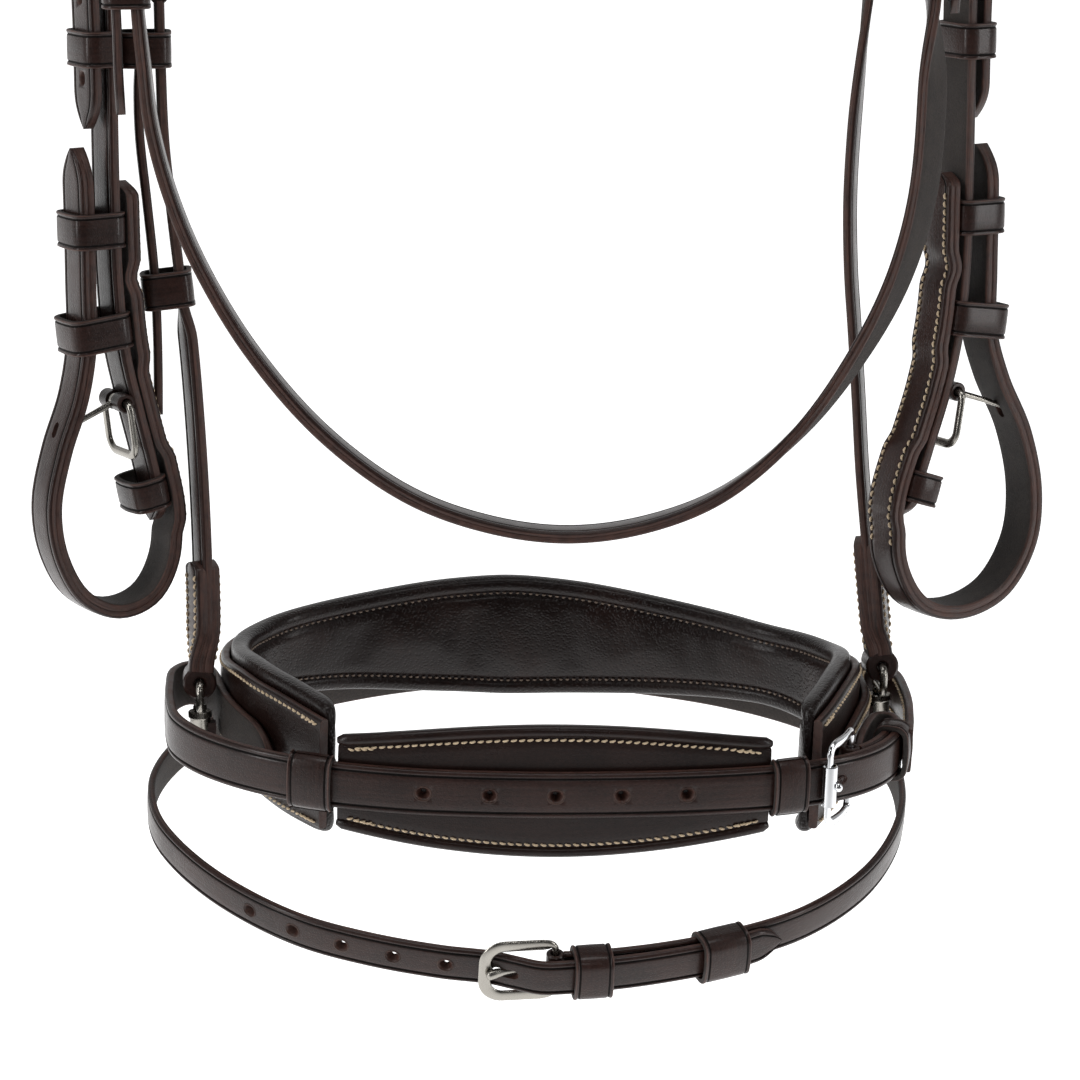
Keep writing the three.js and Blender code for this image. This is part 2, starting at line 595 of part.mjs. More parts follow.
function sliphead({ set, route: hanger }) {
  const tail = billetPath([], []).map(([s, rise]) => [-124.5 - s + 1.75, 8, HANGER_BUCKLE_Z + rise]);
  const run = new Route([
    [122.8, 8, -422], [120.8, 8, -403], [118.6, 8, -381], [116.2, 8, -356], [114.6, 8, -332],
    [112.8, 8, -307],
    [111.2, 8, -286], [110.6, 8, -262], [111.6, 8, -238], [113.6, 8, -214], [116, 8, -190],
    [118.4, 7.6, -160], [119.6, 5, -130], [118.4, 0, -98],
    ...archPoints(118, 113.5, CROWN_Y, 75, -75, 11),
    [-118.6, 0, -98], [-121, 6, -128], [-123, 8, -146],
    ...tail, [-132, 8, -222], [-131.8, 8, -238], [-129.6, 7.2, -262], [-127.6, 6.8, -286],
    [-127, 6.2, -310], [-127.2, 5.6, -333],
  ], [[0, HANGER_WIDE], [1, HANGER_WIDE]]);
  const body = strap(run, {
    low: -THIN_STRAP / 2, high: THIN_STRAP / 2, width: THIN_WIDTH, steps: 62, endTip: 12,
  });
  const doubled = strap(run, { to: 42, low: -4.3, high: 4.3, width: THIN_WIDTH, steps: 4 });
  const whole = join(body, doubled, lowerFold(BAIL_RIGHT));
  add("sliphead", cut(whole, set.billetSlot), LEATHER);

  const z = -289;
  const inner = hanger.at(hanger.whereZ(z));
  const outer = run.at(run.nearest(vec(-127.6, 7.4, z)));
  const apart = outer.p.clone().sub(inner.p).dot(inner.n);
  const [low, high] = [-STRAP / 2 - 0.4, apart + THIN_STRAP / 2 + 0.6];
  add("hanger_runner", keeperGeometry(low, high, THIN_WIDTH + 0.6, 12.5), LEATHER, inner);
}

// ---- Noseband ----
const RING_NORMAL = vec(0.02, -0.13, 1).normalize();

function onNoseband([x, y]) {
  return [x, y, -440 + 0.13 * y - 0.02 * x];
}

// The seam between the noseband's leather and its pad, from the left wing round the nose to the right.
const noseRoute = new Route([
  [-73, -52.5], [-79.5, -42.5], [-87, -30.5], [-95, -15.5], [-101, 2], [-104, 21], [-102, 40],
  [-91, 58], [-68, 71.5],
  [-38, 79.5], [-10, 82.5], [20, 80], [50, 71.5], [80, 58], [102, 41], [112, 21], [111.5, 1], [105, -20],
  [98, -38], [90, -54.5],
].map(onNoseband), RING_NORMAL);

const noseWidth = profile([
  [0, 48], [0.06, 50], [0.13, 47], [0.2, 34], [0.27, 30], [0.36, 36], [0.43, 43], [0.5, 47],
  [0.57, 43], [0.65, 36], [0.73, 30], [0.8, 34], [0.87, 47], [0.94, 50], [1, 48],
]);

function noseband() {
  const width = (mm) => noseWidth(mm / noseRoute.length);
  add("nose_pad", strap(noseRoute, {
    low: -NOSE_PAD, high: -0.15, width, steps: 34,
  }), PADDING);
  add("noseband_leather", strap(noseRoute, {
    low: 0.15, high: NOSE_LEATHER, width: (mm) => width(mm) - 6, steps: 34,
  }), LEATHER);
}

// ---- Swivels that join the hangers to the noseband ----
const SWIVEL_Z = -437;           // top of each barrel, and the axis the noseband tilts about
const BARREL = 3.4;              // barrel radius
const BARREL_SOCKET = 2.1;       // the bail's stem turns loosely in this
const WIRE = 2.4;                // bail wire

function bail(name, foot) {
  const place = { p: foot.clone().setZ(SWIVEL_Z + 1.8), n: vec(1, 0, 0), w: ACROSS, t: UP };
  const loop = ringGeometry(13, foot.z - SWIVEL_Z - 1.8, WIRE).applyMatrix4(matrixOf(place));
  const stem = new THREE.CylinderGeometry(1.2, 1.2, 5, 8).rotateX(Math.PI / 2);
  stem.translate(foot.x, foot.y, SWIVEL_Z + 0.2);
  add(name, join(loop, stem), STEEL);
}

function barrel(name, foot, side, lug) {
  const points = [
    [0, -4], [BARREL_SOCKET, -4], [BARREL_SOCKET, 0], [BARREL + 0.5, 0], [BARREL + 0.5, -2.4],
    [BARREL, -2.7], [BARREL, -14], [BARREL - 0.8, -15], [0, -15],
  ].map(([r, h]) => new THREE.Vector2(r, h)).reverse();
  const cup = new THREE.LatheGeometry(points, 12).rotateX(Math.PI / 2);
  cup.translate(foot.x, foot.y, SWIVEL_Z);
  const reach = lug - BARREL + 1;
  const plate = new THREE.BoxGeometry(reach, 5, 8);
  plate.translate(foot.x - side * (BARREL - 1 + reach / 2), foot.y, SWIVEL_Z - 8);
  add(name, join(cup, plate), STEEL);
}

function swivels() {
  bail("bail_left", BAIL_LEFT);
  bail("bail_right", BAIL_RIGHT);
  barrel("swivel_barrel_left", BAIL_LEFT, -1, 5.4);
  barrel("swivel_barrel_right", BAIL_RIGHT, 1, 4.3);
}

// ---- Crank strap, its end tab, buckle, keepers and the chin pad ----
const crankRoute = new Route([
  [-91.5, -35.6], [-99.8, -18.2], [-106.2, 1.4], [-109.2, 20], [-112, 28], [-118.2, 31],
  [-123.6, 25], [-125.2, 12],
  [-125.2, -4], [-123.4, -18], [-117, -30.5], [-107, -41.5], [-93, -51.8], [-75, -60.5],
  [-50, -67.3], [-25, -70.5],
  [2, -71.8], [28, -71.4], [52, -69.8], [75, -66.4], [90, -62], [104, -55.4], [114.4, -47], [121.4, -36.5],
  [124.4, -26.5], [122.6, -19], [118.2, -18.4], [114.6, -24], [111, -33], [107.4, -42],
].map(onNoseband), RING_NORMAL.clone().negate());

const tabRoute = new Route([
  [102.2, -43.4], [110.4, -21.2], [117.2, 1], [117.8, 21.6], [121, 29.4], [127, 29], [131, 21], [131.8, 7],
  [131, -7], [129.6, -17], [128.2, -26], [126.5, -34],
].map(onNoseband), RING_NORMAL.clone().negate());

function crank() {
  const half = THIN_STRAP / 2;
  const chapeLow = -half - GAP - THIN_STRAP;
  const pivotPlace = crankRoute.nearest(vec(...onNoseband([107, -53.6])));
  const roller = 2.5;
  const pivotAt = crankRoute.at(pivotPlace);
  const frontAt = crankRoute.at(pivotPlace - 15.5);
  const pivot = pivotAt.p.clone().addScaledVector(pivotAt.n, -half - GAP - BAR / 2 - 2);
  const front = frontAt.p.clone().addScaledVector(frontAt.n, half + 0.4 + roller);
  const span = front.distanceTo(pivot);
  const place = buckleFrame(pivot, front.clone().sub(pivot), pivotAt.n);
  const set = buckle("crank_buckle", place, {
    width: CRANK_WIDTH, span, room: 4.2, rim: 3, reach: span + 1, lift: roller + GAP + 1, finish: CHROME,
  });

  const profilePoints = [[1.9, -7.4], [1.9, 7.4], [roller, 7.4], [roller, -7.4], [1.9, -7.4]].reverse();
  const tube = new THREE.LatheGeometry(profilePoints.map(([r, h]) => new THREE.Vector2(r, h)), 12);
  add("crank_roller", tube, CHROME, { ...place, p: front });

  const middle = crankRoute.nearest(vec(...onNoseband([2, -71.8])));
  const holes = [-2, -1, 0, 1, 2].map((i) => middle + i * HOLE_PITCH);
  const body = strap(crankRoute, {
    low: -half, high: half, width: CRANK_WIDTH, steps: 62, startTip: 16, endTip: 10,
  });
  add("crank_strap", cut(body, set.billetSlot, ...holeCutters(crankRoute, holes, -half, half)), LEATHER);

  // The chape under the strap's end, from the pivot bar to the noseband's end tab.
  const loopPlace = crankRoute.nearest(vec(...onNoseband([122.6, -33.4])));
  const chape = strap(crankRoute, {
    from: pivotPlace - 1, to: loopPlace + 4, low: chapeLow, high: -half - GAP, width: CRANK_WIDTH, steps: 9,
  });
  add("crank_chape", cut(join(chape, set.eye), ...set.eyeCutters), LEATHER);

  const tab = strap(tabRoute, { low: -half, high: half, width: CRANK_WIDTH, steps: 30, startTip: 14 });
  const ring = keeperGeometry(chapeLow - 0.7, half + 0.7, CRANK_WIDTH, 8)
    .applyMatrix4(matrixOf(crankRoute.at(loopPlace)));
  add("crank_end_tab", join(tab, ring), LEATHER);

  keeper("crank_keeper_left", crankRoute, crankRoute.nearest(vec(...onNoseband([-78.5, -59.2]))),
    -half, half, CRANK_WIDTH, 15);
  keeper("crank_keeper_right", crankRoute, crankRoute.nearest(vec(...onNoseband([81, -65]))),
    -half, half, CRANK_WIDTH, 12.5);

  const chinStart = middle - 71;
  const chinEnd = middle + 71;
  const barrelWidth = (mm) => 34 + 13 * Math.cos(((mm - middle) / 71) * (Math.PI / 2));
  const face = -half - GAP;
  add("chin_facing", strap(crankRoute, {
    from: chinStart, to: chinEnd, low: face - 3, high: face, width: barrelWidth, steps: 22,
  }), LEATHER);
  add("chin_pad", strap(crankRoute, {
    from: chinStart + 3, to: chinEnd - 3, low: face - 3 - GAP - CHIN_PAD, high: face - 3 - GAP,
    width: (mm) => barrelWidth(mm) - 2, steps: 20,
  }), PADDING);
}

// ---- Flash ----
const FLASH_NORMAL = vec(0.02, -0.35, 1).normalize();
const FLASH_BAR = 2.2;
const FLASH_OVERLAP = 130;       // length of the strap that runs over its own start, to its tip
const FLASH_HALF = 1.25;         // half the flash strap's thickness

// The flash hangs from the nose in a steeper plane than the noseband's.
function onFlash([x, y]) {
  return [x, y, -480 + 0.35 * y - 0.02 * x];
}

const flashRoute = new Route([
  [1, -78.4], [10, -77.8], [23, -76.4], [41, -73], [58, -68.2], [87, -55.6], [111, -35],
  [126, -11], [132.6, 12],
  [131.6, 35], [120, 55], [100, 70], [76, 81], [50, 88.4], [26, 93.2], [0, 94.8], [-28, 92.2], [-55, 86],
  [-82, 75.6], [-106, 60], [-123, 42], [-131.5, 22], [-131, 2], [-124, -15], [-108, -36.5], [-84, -56.6],
  [-60, -67.6], [-36, -74.6], [-26, -76.4], [-20, -77.6], [-12, -80.6], [-4, -83.3], [5, -83.1], [14, -82],
  [28, -79.8], [44, -76.2], [60, -71.6], [79, -63.3],
].map(onFlash), FLASH_NORMAL.clone().negate());

function flash() {
  const start = flashRoute.at(0);
  const overStart = flashRoute.length - FLASH_OVERLAP;
  const nearest = (x, y) => {
    const target = vec(...onFlash([x, y]));
    let best = overStart;
    for (let mm = overStart; mm < flashRoute.length; mm += 0.5) {
      if (flashRoute.at(mm).p.distanceTo(target) < flashRoute.at(best).p.distanceTo(target)) best = mm;
    }
    return best;
  };
  const outward = start.n.clone();
  const frontAt = flashRoute.at(nearest(-20, -77.6) - 1);
  const front = frontAt.p.clone().addScaledVector(frontAt.n, FLASH_HALF + 0.4 + FLASH_BAR / 2);
  const place = buckleFrame(start.p, front.clone().sub(start.p), outward);
  const set = buckle("flash_buckle", place, {
    width: FLASH_WIDTH, span: front.distanceTo(start.p), bar: FLASH_BAR, room: 1.5, rim: 3.4,
    lift: FLASH_BAR / 2 + GAP + 1.1,
  });
  const body = strap(flashRoute, {
    low: -FLASH_HALF, high: FLASH_HALF, width: FLASH_WIDTH, steps: 60, endTip: 11,
  });
  const holeStart = nearest(-36, -74.6) + 1;
  const holes = [0, 1, 2, 3, 4].map((i) => holeStart - i * 18);
  const pierced = holeCutters(flashRoute, holes, -FLASH_HALF, FLASH_HALF);
  add("flash_strap", cut(join(body, set.eye), ...set.eyeCutters, set.billetSlot, ...pierced), LEATHER);

  [["flash_keeper", 12, 13], ["flash_runner", 57, 17]].forEach(([name, mm, length]) => {
    const inner = flashRoute.at(mm);
    const outer = flashRoute.at(nearest(inner.p.x + 0.5, inner.p.y - 4));
    const apart = outer.p.clone().sub(inner.p).dot(inner.n) + FLASH_HALF + 0.7;
    add(name, keeperGeometry(-FLASH_HALF - 0.5, apart, FLASH_WIDTH + 0.6, length), LEATHER, inner);
  });

  const nose = flashRoute.nearest(vec(...onFlash([0, 94.8])));
  keeper("flash_loop", flashRoute, nose, -2.7, 2.6, FLASH_WIDTH + 1.6, 14);
}

pollPad();
headpiece();
browband();
throatlatch();
sliphead(leftHanger());
noseband();
swivels();
crank();
flash();

export default bridle;
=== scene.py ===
"""The looks of a bitless English bridle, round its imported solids. Lengths are in mm until a mesh is made."""
import json
import math

import bpy
import numpy as np
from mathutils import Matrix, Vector

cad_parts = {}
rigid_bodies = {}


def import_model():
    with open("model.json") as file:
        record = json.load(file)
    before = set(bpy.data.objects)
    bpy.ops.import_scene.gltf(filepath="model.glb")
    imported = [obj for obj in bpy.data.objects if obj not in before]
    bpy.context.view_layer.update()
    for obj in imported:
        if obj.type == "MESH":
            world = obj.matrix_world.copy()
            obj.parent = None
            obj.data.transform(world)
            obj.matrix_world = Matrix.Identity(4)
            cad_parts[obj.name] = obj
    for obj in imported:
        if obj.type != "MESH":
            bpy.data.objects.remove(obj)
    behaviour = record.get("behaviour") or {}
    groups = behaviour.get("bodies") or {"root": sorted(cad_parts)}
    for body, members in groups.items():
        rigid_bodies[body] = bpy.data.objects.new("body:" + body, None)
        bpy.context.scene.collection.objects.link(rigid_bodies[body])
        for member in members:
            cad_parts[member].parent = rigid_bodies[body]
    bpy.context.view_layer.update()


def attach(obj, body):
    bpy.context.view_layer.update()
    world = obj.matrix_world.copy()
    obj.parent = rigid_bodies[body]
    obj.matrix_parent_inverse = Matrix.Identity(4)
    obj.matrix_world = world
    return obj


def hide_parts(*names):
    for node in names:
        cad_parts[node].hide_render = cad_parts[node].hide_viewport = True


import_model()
scene = bpy.context.scene
MM = 0.001

# ---- The sizes that part.mjs is driven by ----
GAP = 0.3
CHEEK_WIDTH, CRANK_WIDTH, BROW_WIDTH, CROWN_WIDTH = 16, 16, 16, 36
THIN_WIDTH, THROAT_WIDTH, FLASH_WIDTH = 12, 13, 13
STRAP, THIN, LOOP, CHEEK_TURN = 3.5, 3.0, 5.0, 25
UPPER_Z, LOWER_Z, HANGER_Z, THROAT_Z = -168, -325, -190, -166
KEEPER_LEVELS = (-267, -301, -358)
BAR, RIM, SPAN, WALL, SWIVEL_Z = 2.6, 3.2, 18.0, 1.5, -437
ARCH_Z, CROWN_A, CROWN_B, CROWN_Y = -100, 138, 117.5, -10


def vec(*v):
    return np.array(v, float)


def unit(v):
    return v / np.linalg.norm(v)


UP, ACROSS, DOWN = vec(0, 0, 1), vec(0, 1, 0), vec(0, 0, -1)


def smooth(x, a, b):
    t = np.clip((x - a) / (b - a), 0, 1)
    return t * t * (3 - 2 * t)


class Place:
    """A point with the directions outward (n), across (w) and along (t)."""

    def __init__(self, p, n, w, t):
        self.p, self.n, self.w, self.t = p, n, w, t

    def at(self, n=0.0, w=0.0, t=0.0):
        return self.p + self.n * n + self.w * w + self.t * t


class Route:
    """The same smooth line through points as the solids follow, read by its length in mm."""

    def __init__(self, points, widths):
        self.pts = [vec(*p) for p in points]
        ts = np.linspace(0, 1, 601)
        line = np.array([self.point(t) for t in ts])
        steps = np.linalg.norm(np.diff(line, axis=0), axis=1)
        self.lengths, self.ts = np.concatenate([[0], np.cumsum(steps)]), ts
        self.length = float(self.lengths[-1])
        self.widths = widths if isinstance(widths, list) else [(0, widths), (1, widths)]
        self.half_mm = np.array([self.at(k / 2).p for k in range(int(self.length * 2) + 1)])

    def point(self, t):
        pts, last = self.pts, len(self.pts) - 1
        p = last * t
        i = min(int(math.floor(p)), last - 1)
        u = p - i
        p1, p2 = pts[i], pts[i + 1]
        p0 = pts[i - 1] if i > 0 else 2 * pts[0] - pts[1]
        p3 = pts[i + 2] if i + 2 <= last else 2 * pts[last] - pts[last - 1]
        pairs = ((p0, p1), (p1, p2), (p2, p3))
        d0, d1, d2 = (max(math.sqrt(np.linalg.norm(b - a)), 1e-4) for a, b in pairs)
        t1 = ((p1 - p0) / d0 - (p2 - p0) / (d0 + d1) + (p2 - p1) / d1) * d1
        t2 = ((p2 - p1) / d1 - (p3 - p1) / (d1 + d2) + (p3 - p2) / d2) * d1
        return p1 + t1 * u + (-3 * p1 + 3 * p2 - 2 * t1 - t2) * u * u + (2 * p1 - 2 * p2 + t1 + t2) * u ** 3

    def wide(self, u):
        i = max(0, min(len(self.widths) - 2, sum(f <= u for f, _ in self.widths) - 1))
        (f0, w0), (f1, w1) = self.widths[i], self.widths[i + 1]
        return unit(w0 + (w1 - w0) * smooth(u, f0, f1))

    def at(self, mm):
        u = min(max(mm / self.length, 0), 1)
        t = float(np.interp(u * self.length, self.lengths, self.ts))
        a, b = self.point(max(t - 1e-4, 0)), self.point(min(t + 1e-4, 1))
        along = unit(b - a)
        n = unit(np.cross(self.wide(u), along))
        return Place(self.point(t) + along * (mm - u * self.length), n, np.cross(along, n), along)

    def where_z(self, z, start=0.0):
        k = int(start * 2)
        side = np.sign(self.half_mm[k][2] - z)
        while k < len(self.half_mm) and np.sign(self.half_mm[k][2] - z) == side:
            k += 1
        return k / 2

    def nearest(self, p, start=0.0):
        k = int(start * 2)
        return (k + int(np.argmin(np.linalg.norm(self.half_mm[k:] - p, axis=1)))) / 2


# ---- Materials ----
def material(name, build):
    m = bpy.data.materials.new(name)
    m.use_nodes = True
    nt = m.node_tree
    nt.nodes.clear()
    shader = nt.nodes.new("ShaderNodeBsdfPrincipled")
    out = nt.nodes.new("ShaderNodeOutputMaterial")
    nt.links.new(shader.outputs[0], out.inputs[0])
    build(Nodes(nt), shader)
    return m


class Nodes:
    """Short names for the nodes that the materials use."""

    def __init__(self, nt):
        self.nt = nt
        self.coord = nt.nodes.new("ShaderNodeTexCoord")

    def put(self, v, socket):
        """Links an output to a socket, or sets the socket to a number, a scale or a colour."""
        if isinstance(v, bpy.types.NodeSocket):
            self.nt.links.new(v, socket)
        else:
            socket.default_value = (*v, 1) if socket.type == "RGBA" else v

    def fill(self, node, **values):
        """Puts values into a node's inputs, whose names have _ for a space."""
        for k, v in values.items():
            self.put(v, node.inputs[k.replace("_", " ")])
        return node

    def new(self, kind, **values):
        """A new node. Names in lower case are its options, and the others its inputs."""
        n = self.nt.nodes.new("ShaderNode" + kind)
        for k in [k for k in values if k.islower()]:
            setattr(n, k, values.pop(k))
        return self.fill(n, **values)

    def place(self, scale, uv=False):
        """Object space, or the strap's own length and width, in metres times scale."""
        scale = scale if isinstance(scale, tuple) else (scale,) * 3
        return self.new("Mapping", Scale=scale, Vector=self.coord.outputs["UV" if uv else "Object"]).outputs[0]

    def noise(self, scale, detail=3.0, rough=0.55, uv=False):
        vector = self.place(scale, uv)
        return self.new("TexNoise", Detail=detail, Roughness=rough, Scale=1.0, Vector=vector).outputs[0]

    def cells(self, scale):
        return self.new("TexVoronoi", Scale=1.0, Vector=self.place(scale)).outputs[0]

    def ramp(self, value, low, high, a=0.0, b=1.0):
        return self.new("MapRange", From_Min=low, From_Max=high, To_Min=a, To_Max=b, Value=value).outputs[0]

    def math(self, op, *values):
        n = self.new("Math", operation=op)
        for v, socket in zip(values, n.inputs):
            self.put(v, socket)
        return n.outputs[0]

    def mix(self, factor, a, b):
        n = self.new("Mix", data_type="RGBA")
        for v, i in ((factor, 0), (a, 6), (b, 7)):
            self.put(v, n.inputs[i])
        return n.outputs[2]

    def bump(self, height, strength, distance, normal=None):
        n = self.new("Bump", Strength=strength, Distance=distance, Height=height)
        if normal is not None:
            self.put(normal, n.inputs["Normal"])
        return n.outputs[0]


def leather(dark, light, rough, grain, pebble, streak, coat=0.0):
    """Grain-side leather: two browns, pores, a pebble of the given size in mm, and streaks along the strap."""

    def build(g, s):
        lines = g.noise((30, 900, 30), 3, uv=True)
        tone = g.math("MULTIPLY_ADD", lines, 0.35 * streak, g.math("MULTIPLY", g.noise(45, 4), 0.5))
        tone = g.math("MULTIPLY_ADD", g.noise(900, 3), 0.35, tone)
        wear = g.math("MULTIPLY_ADD", g.noise(160, 4), 0.26, g.math("MULTIPLY", lines, 0.2 * streak))
        pores = g.ramp(g.cells(1000 / pebble), 0.0, 0.55)
        height = g.math("MULTIPLY_ADD", pores, grain, g.math("MULTIPLY", g.noise(2400, 2), 0.25))
        normal = g.bump(height, 0.75, 0.00026, g.bump(g.noise(110, 3), 0.22, 0.0006))
        g.fill(s, Base_Color=g.mix(g.ramp(tone, 0.4, 0.72), dark, light),
               Roughness=g.math("ADD", wear, rough - 0.2),
               Normal=g.bump(lines, 0.5 * streak, 0.00018, normal), Specular_IOR_Level=0.19, Coat_Weight=coat,
               Coat_Roughness=0.2)

    return build


def edge_leather(g, s):
    """A cut edge: dyed, burnished, with the fibre's lines along it."""
    lines, blotch = g.noise((60, 2600, 60), 4, uv=True), g.noise(260, 4)
    tone = g.ramp(g.math("ADD", lines, g.math("MULTIPLY", blotch, 0.6)), 0.55, 1.05)
    height = g.math("MULTIPLY_ADD", g.noise(1500, 3), 0.6, g.math("MULTIPLY", lines, 0.8))
    g.fill(s, Base_Color=g.mix(tone, (0.019, 0.0088, 0.0068), (0.090, 0.038, 0.027)),
           Roughness=g.ramp(blotch, 0.3, 0.7, 0.38, 0.6), Normal=g.bump(height, 0.7, 0.0003))


def flesh_leather(g, s):
    """The rough back of a strap."""
    fibre = g.noise(1300, 5, 0.7)
    tone = g.ramp(g.math("ADD", fibre, g.math("MULTIPLY", g.noise(140, 4), 0.5)), 0.45, 1.0)
    g.fill(s, Base_Color=g.mix(tone, (0.0085, 0.0064, 0.0056), (0.034, 0.024, 0.0195)), Roughness=0.78,
           Normal=g.bump(fibre, 0.8, 0.0004))


def thread_cloth(color, dark):
    """Waxed linen thread with its twist."""

    def build(g, s):
        wave = g.new("TexWave", Scale=1.0, Distortion=1.5, bands_direction="DIAGONAL", Vector=g.place(1400))
        twist = wave.outputs[1]
        tone = g.ramp(g.math("ADD", twist, g.math("MULTIPLY", g.noise(300, 3), 0.6)), 0.3, 1.3)
        g.fill(s, Base_Color=g.mix(tone, dark, color), Roughness=0.62, Normal=g.bump(twist, 0.5, 0.0001))

    return build


def metal(color, rough, brushed):
    """Plated steel with faint handling marks."""

    def build(g, s):
        shade = tuple(c * 0.86 for c in color)
        g.fill(s, Base_Color=g.mix(g.ramp(g.noise(60, 3), 0.3, 0.7), shade, color), Metallic=1.0,
               Roughness=g.math("MULTIPLY_ADD", g.noise(520, 4), brushed, rough - brushed * 0.45),
               Normal=g.bump(g.noise((3000, 3000, 300), 2), 0.12 + brushed, 0.00004))

    return build


GRAIN = material("grain_leather", leather(
    (0.0085, 0.0034, 0.0027), (0.032, 0.0138, 0.0106), 0.34, 0.5, 0.6, 1.0, 0.30))
RAW = material("hole_lip_leather", leather((0.026, 0.0135, 0.0105), (0.10, 0.060, 0.048), 0.42, 0.3, 0.4, 0.3))
SMOOTH = material("facing_leather", leather(
    (0.0072, 0.0030, 0.0024), (0.0215, 0.0096, 0.0074), 0.34, 0.4, 0.55, 0.6, 0.22))
SOFT = material("pad_leather", leather(
    (0.0070, 0.0031, 0.0025), (0.0240, 0.0110, 0.0085), 0.40, 1.0, 1.0, 0.0, 0.14))
# Much darker leather for the crease grooves: painted shade in the groove, on top of the shade the groove's depth gives.
CREASE_SHADE = material("crease_painted_shade_leather", leather(
    (0.0026, 0.0013, 0.0010), (0.0070, 0.0034, 0.0026), 0.62, 0.3, 0.4, 0.6))
EDGE = material("edge_leather", edge_leather)
FLESH = material("flesh_leather", flesh_leather)
THREAD = material("cream_thread", thread_cloth((0.86, 0.70, 0.48), (0.46, 0.33, 0.21)))
DIM_THREAD = material("brown_thread", thread_cloth((0.26, 0.195, 0.15), (0.10, 0.07, 0.055)))
STEEL = material("satin_steel", metal((0.36, 0.342, 0.31), 0.26, 0.12))
CHROME = material("bright_chrome", metal((0.78, 0.79, 0.81), 0.13, 0.05))
ALL = [GRAIN, EDGE, FLESH, CREASE_SHADE]
FACING = [SMOOTH, EDGE, FLESH, CREASE_SHADE]


# ---- Meshes ----
def finish_mesh(obj, angle=42):
    me = obj.data
    me.polygons.foreach_set("use_smooth", [True] * len(me.polygons))
    me.set_sharp_from_angle(angle=math.radians(angle))
    me.update()


def build(name, parts, mats, body="headstall", slot="strap_leather", replaces=()):
    """One object from parts, each (vertices in mm, faces, material index per face, uv per corner)."""
    verts, faces, index, uvs, base = [], [], [], [], 0
    for v, f, m, uv in parts:
        verts.append(np.asarray(v, float))
        faces += [tuple(i + base for i in face) for face in f]
        index += list(m)
        uvs += list(uv)
        base += len(v)
    me = bpy.data.meshes.new(name)
    me.from_pydata((np.concatenate(verts) * MM).tolist(), [], faces)
    layer = me.uv_layers.new(name="UVMap")
    layer.data.foreach_set("uv", (np.array(uvs, float).reshape(-1) * MM).tolist())
    for m in mats:
        me.materials.append(m)
    me.polygons.foreach_set("material_index", index)
    me.update()
    obj = bpy.data.objects.new(name, me)
    scene.collection.objects.link(obj)
    finish_mesh(obj)
    obj["body"] = body
    if replaces:
        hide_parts(*replaces)
    return obj


def skin(rings, u, v, seg_mats, closed=False, cap=0):
    """A tube of rings with the same number of points, as one part. u and v are its lengths along and round."""
    rings = np.asarray(rings, float)
    m, k, _ = rings.shape
    verts = rings.reshape(-1, 3)
    faces, mats, uvs = [], [], []
    first, edge = rings[0], rings[0][0]
    turned = np.linalg.det(np.array([first[1] - edge, rings[1][0] - edge, edge - first.mean(0)]))
    for i in range(m if closed else m - 1):
        j = (i + 1) % m
        for a in range(k):
            b = (a + 1) % k
            quad = [(i * k + a, u[i], v[a]), (i * k + b, u[i], v[a + 1]),
                    (j * k + b, u[i + 1], v[a + 1]), (j * k + a, u[i + 1], v[a])]
            if turned < 0:
                quad.reverse()
            faces.append([q[0] for q in quad])
            uvs += [q[1:] for q in quad]
            mats.append(seg_mats[a])
    if not closed:
        for i, order in ((0, -1), (m - 1, 1)):
            loop = list(range(k))[::order if turned > 0 else -order]
            faces.append([i * k + a for a in loop])
            uvs += [(u[i], v[a]) for a in loop]
            mats.append(cap)
    return verts, faces, mats, uvs


def around(points):
    d = np.linalg.norm(np.diff(np.vstack([points, points[:1]]), axis=0), axis=1)
    return np.concatenate([[0], np.cumsum(d)])


def section(crease=2.2, layers=1):
    """A strap's section: (side, distance in from the edge, share of the thickness, offset, next segment's material)."""
    depth, back, crown = 0.42, 2, 0.2
    face = [(0.0, 1, -1.0, 0), (0.1, 1, -0.56, 0), (0.34, 1, -0.22, 0), (0.75, 1, -0.02, 0)]
    if crease:
        # Segments marked 3 take the darker crease leather, which paints shade into the groove.
        face += [(crease - 0.75, 1, 0.04, 0), (crease - 0.4, 1, -0.08, 3), (crease - 0.16, 1, -depth, 3),
                 (crease + 0.12, 1, -depth, 3), (crease + 0.42, 1, -0.02, 0), (crease + 0.95, 1, 0.1, 0)]
    face += [(max(crease, 2) + 2.6, 1, crown, 0)]
    inner = [(max(crease, 2) + 1.5, 0, 0.0, back), (0.7, 0, 0.0, back), (0.2, 0, 0.2, 1), (0.0, 0, 0.6, 1)]
    groove = [(-0.08, 0.5, 0.0, 1)]
    if layers == 2:
        groove = [(0.0, 0.5, -0.4, 1), (0.32, 0.5, 0.0, 1), (0.0, 0.5, 0.4, 1)]
    right = [(1, *p) for p in reversed(face)]
    following = [p[4] for p in right[1:]] + [1]
    right = [(s, d, f, e, m) for (s, d, f, e, _), m in zip(right, following)]
    right += [(1, d, f, e, 1) for d, f, e, m in reversed(groove)]
    right += [(1, d, f, e, m) for d, f, e, m in reversed(inner)]
    left = [(-1, d, f, e, m) for d, f, e, m in inner]
    left = [(s, d, f, e, 1 if d < 0.5 else back) for s, d, f, e, m in left]
    left += [(-1, d, f, e, 1) for d, f, e, m in groove]
    left += [(-1, *p) for p in face]
    return right + left


TIP_STEPS = (0.02, 0.05, 0.1, 0.17, 0.25, 0.34, 0.45, 0.57, 0.7, 0.85)
PLAIN = section(0)
CREASED = section(2.2)
DOUBLE = section(2.2, layers=2)


def quarter(start, step):
    """Cosine and sine through a quarter turn from start degrees."""
    return [(math.cos(a), math.sin(a)) for a in (math.radians(start + turn) for turn in range(0, 91, step))]


def value(x, mm):
    return x(mm) if callable(x) else x


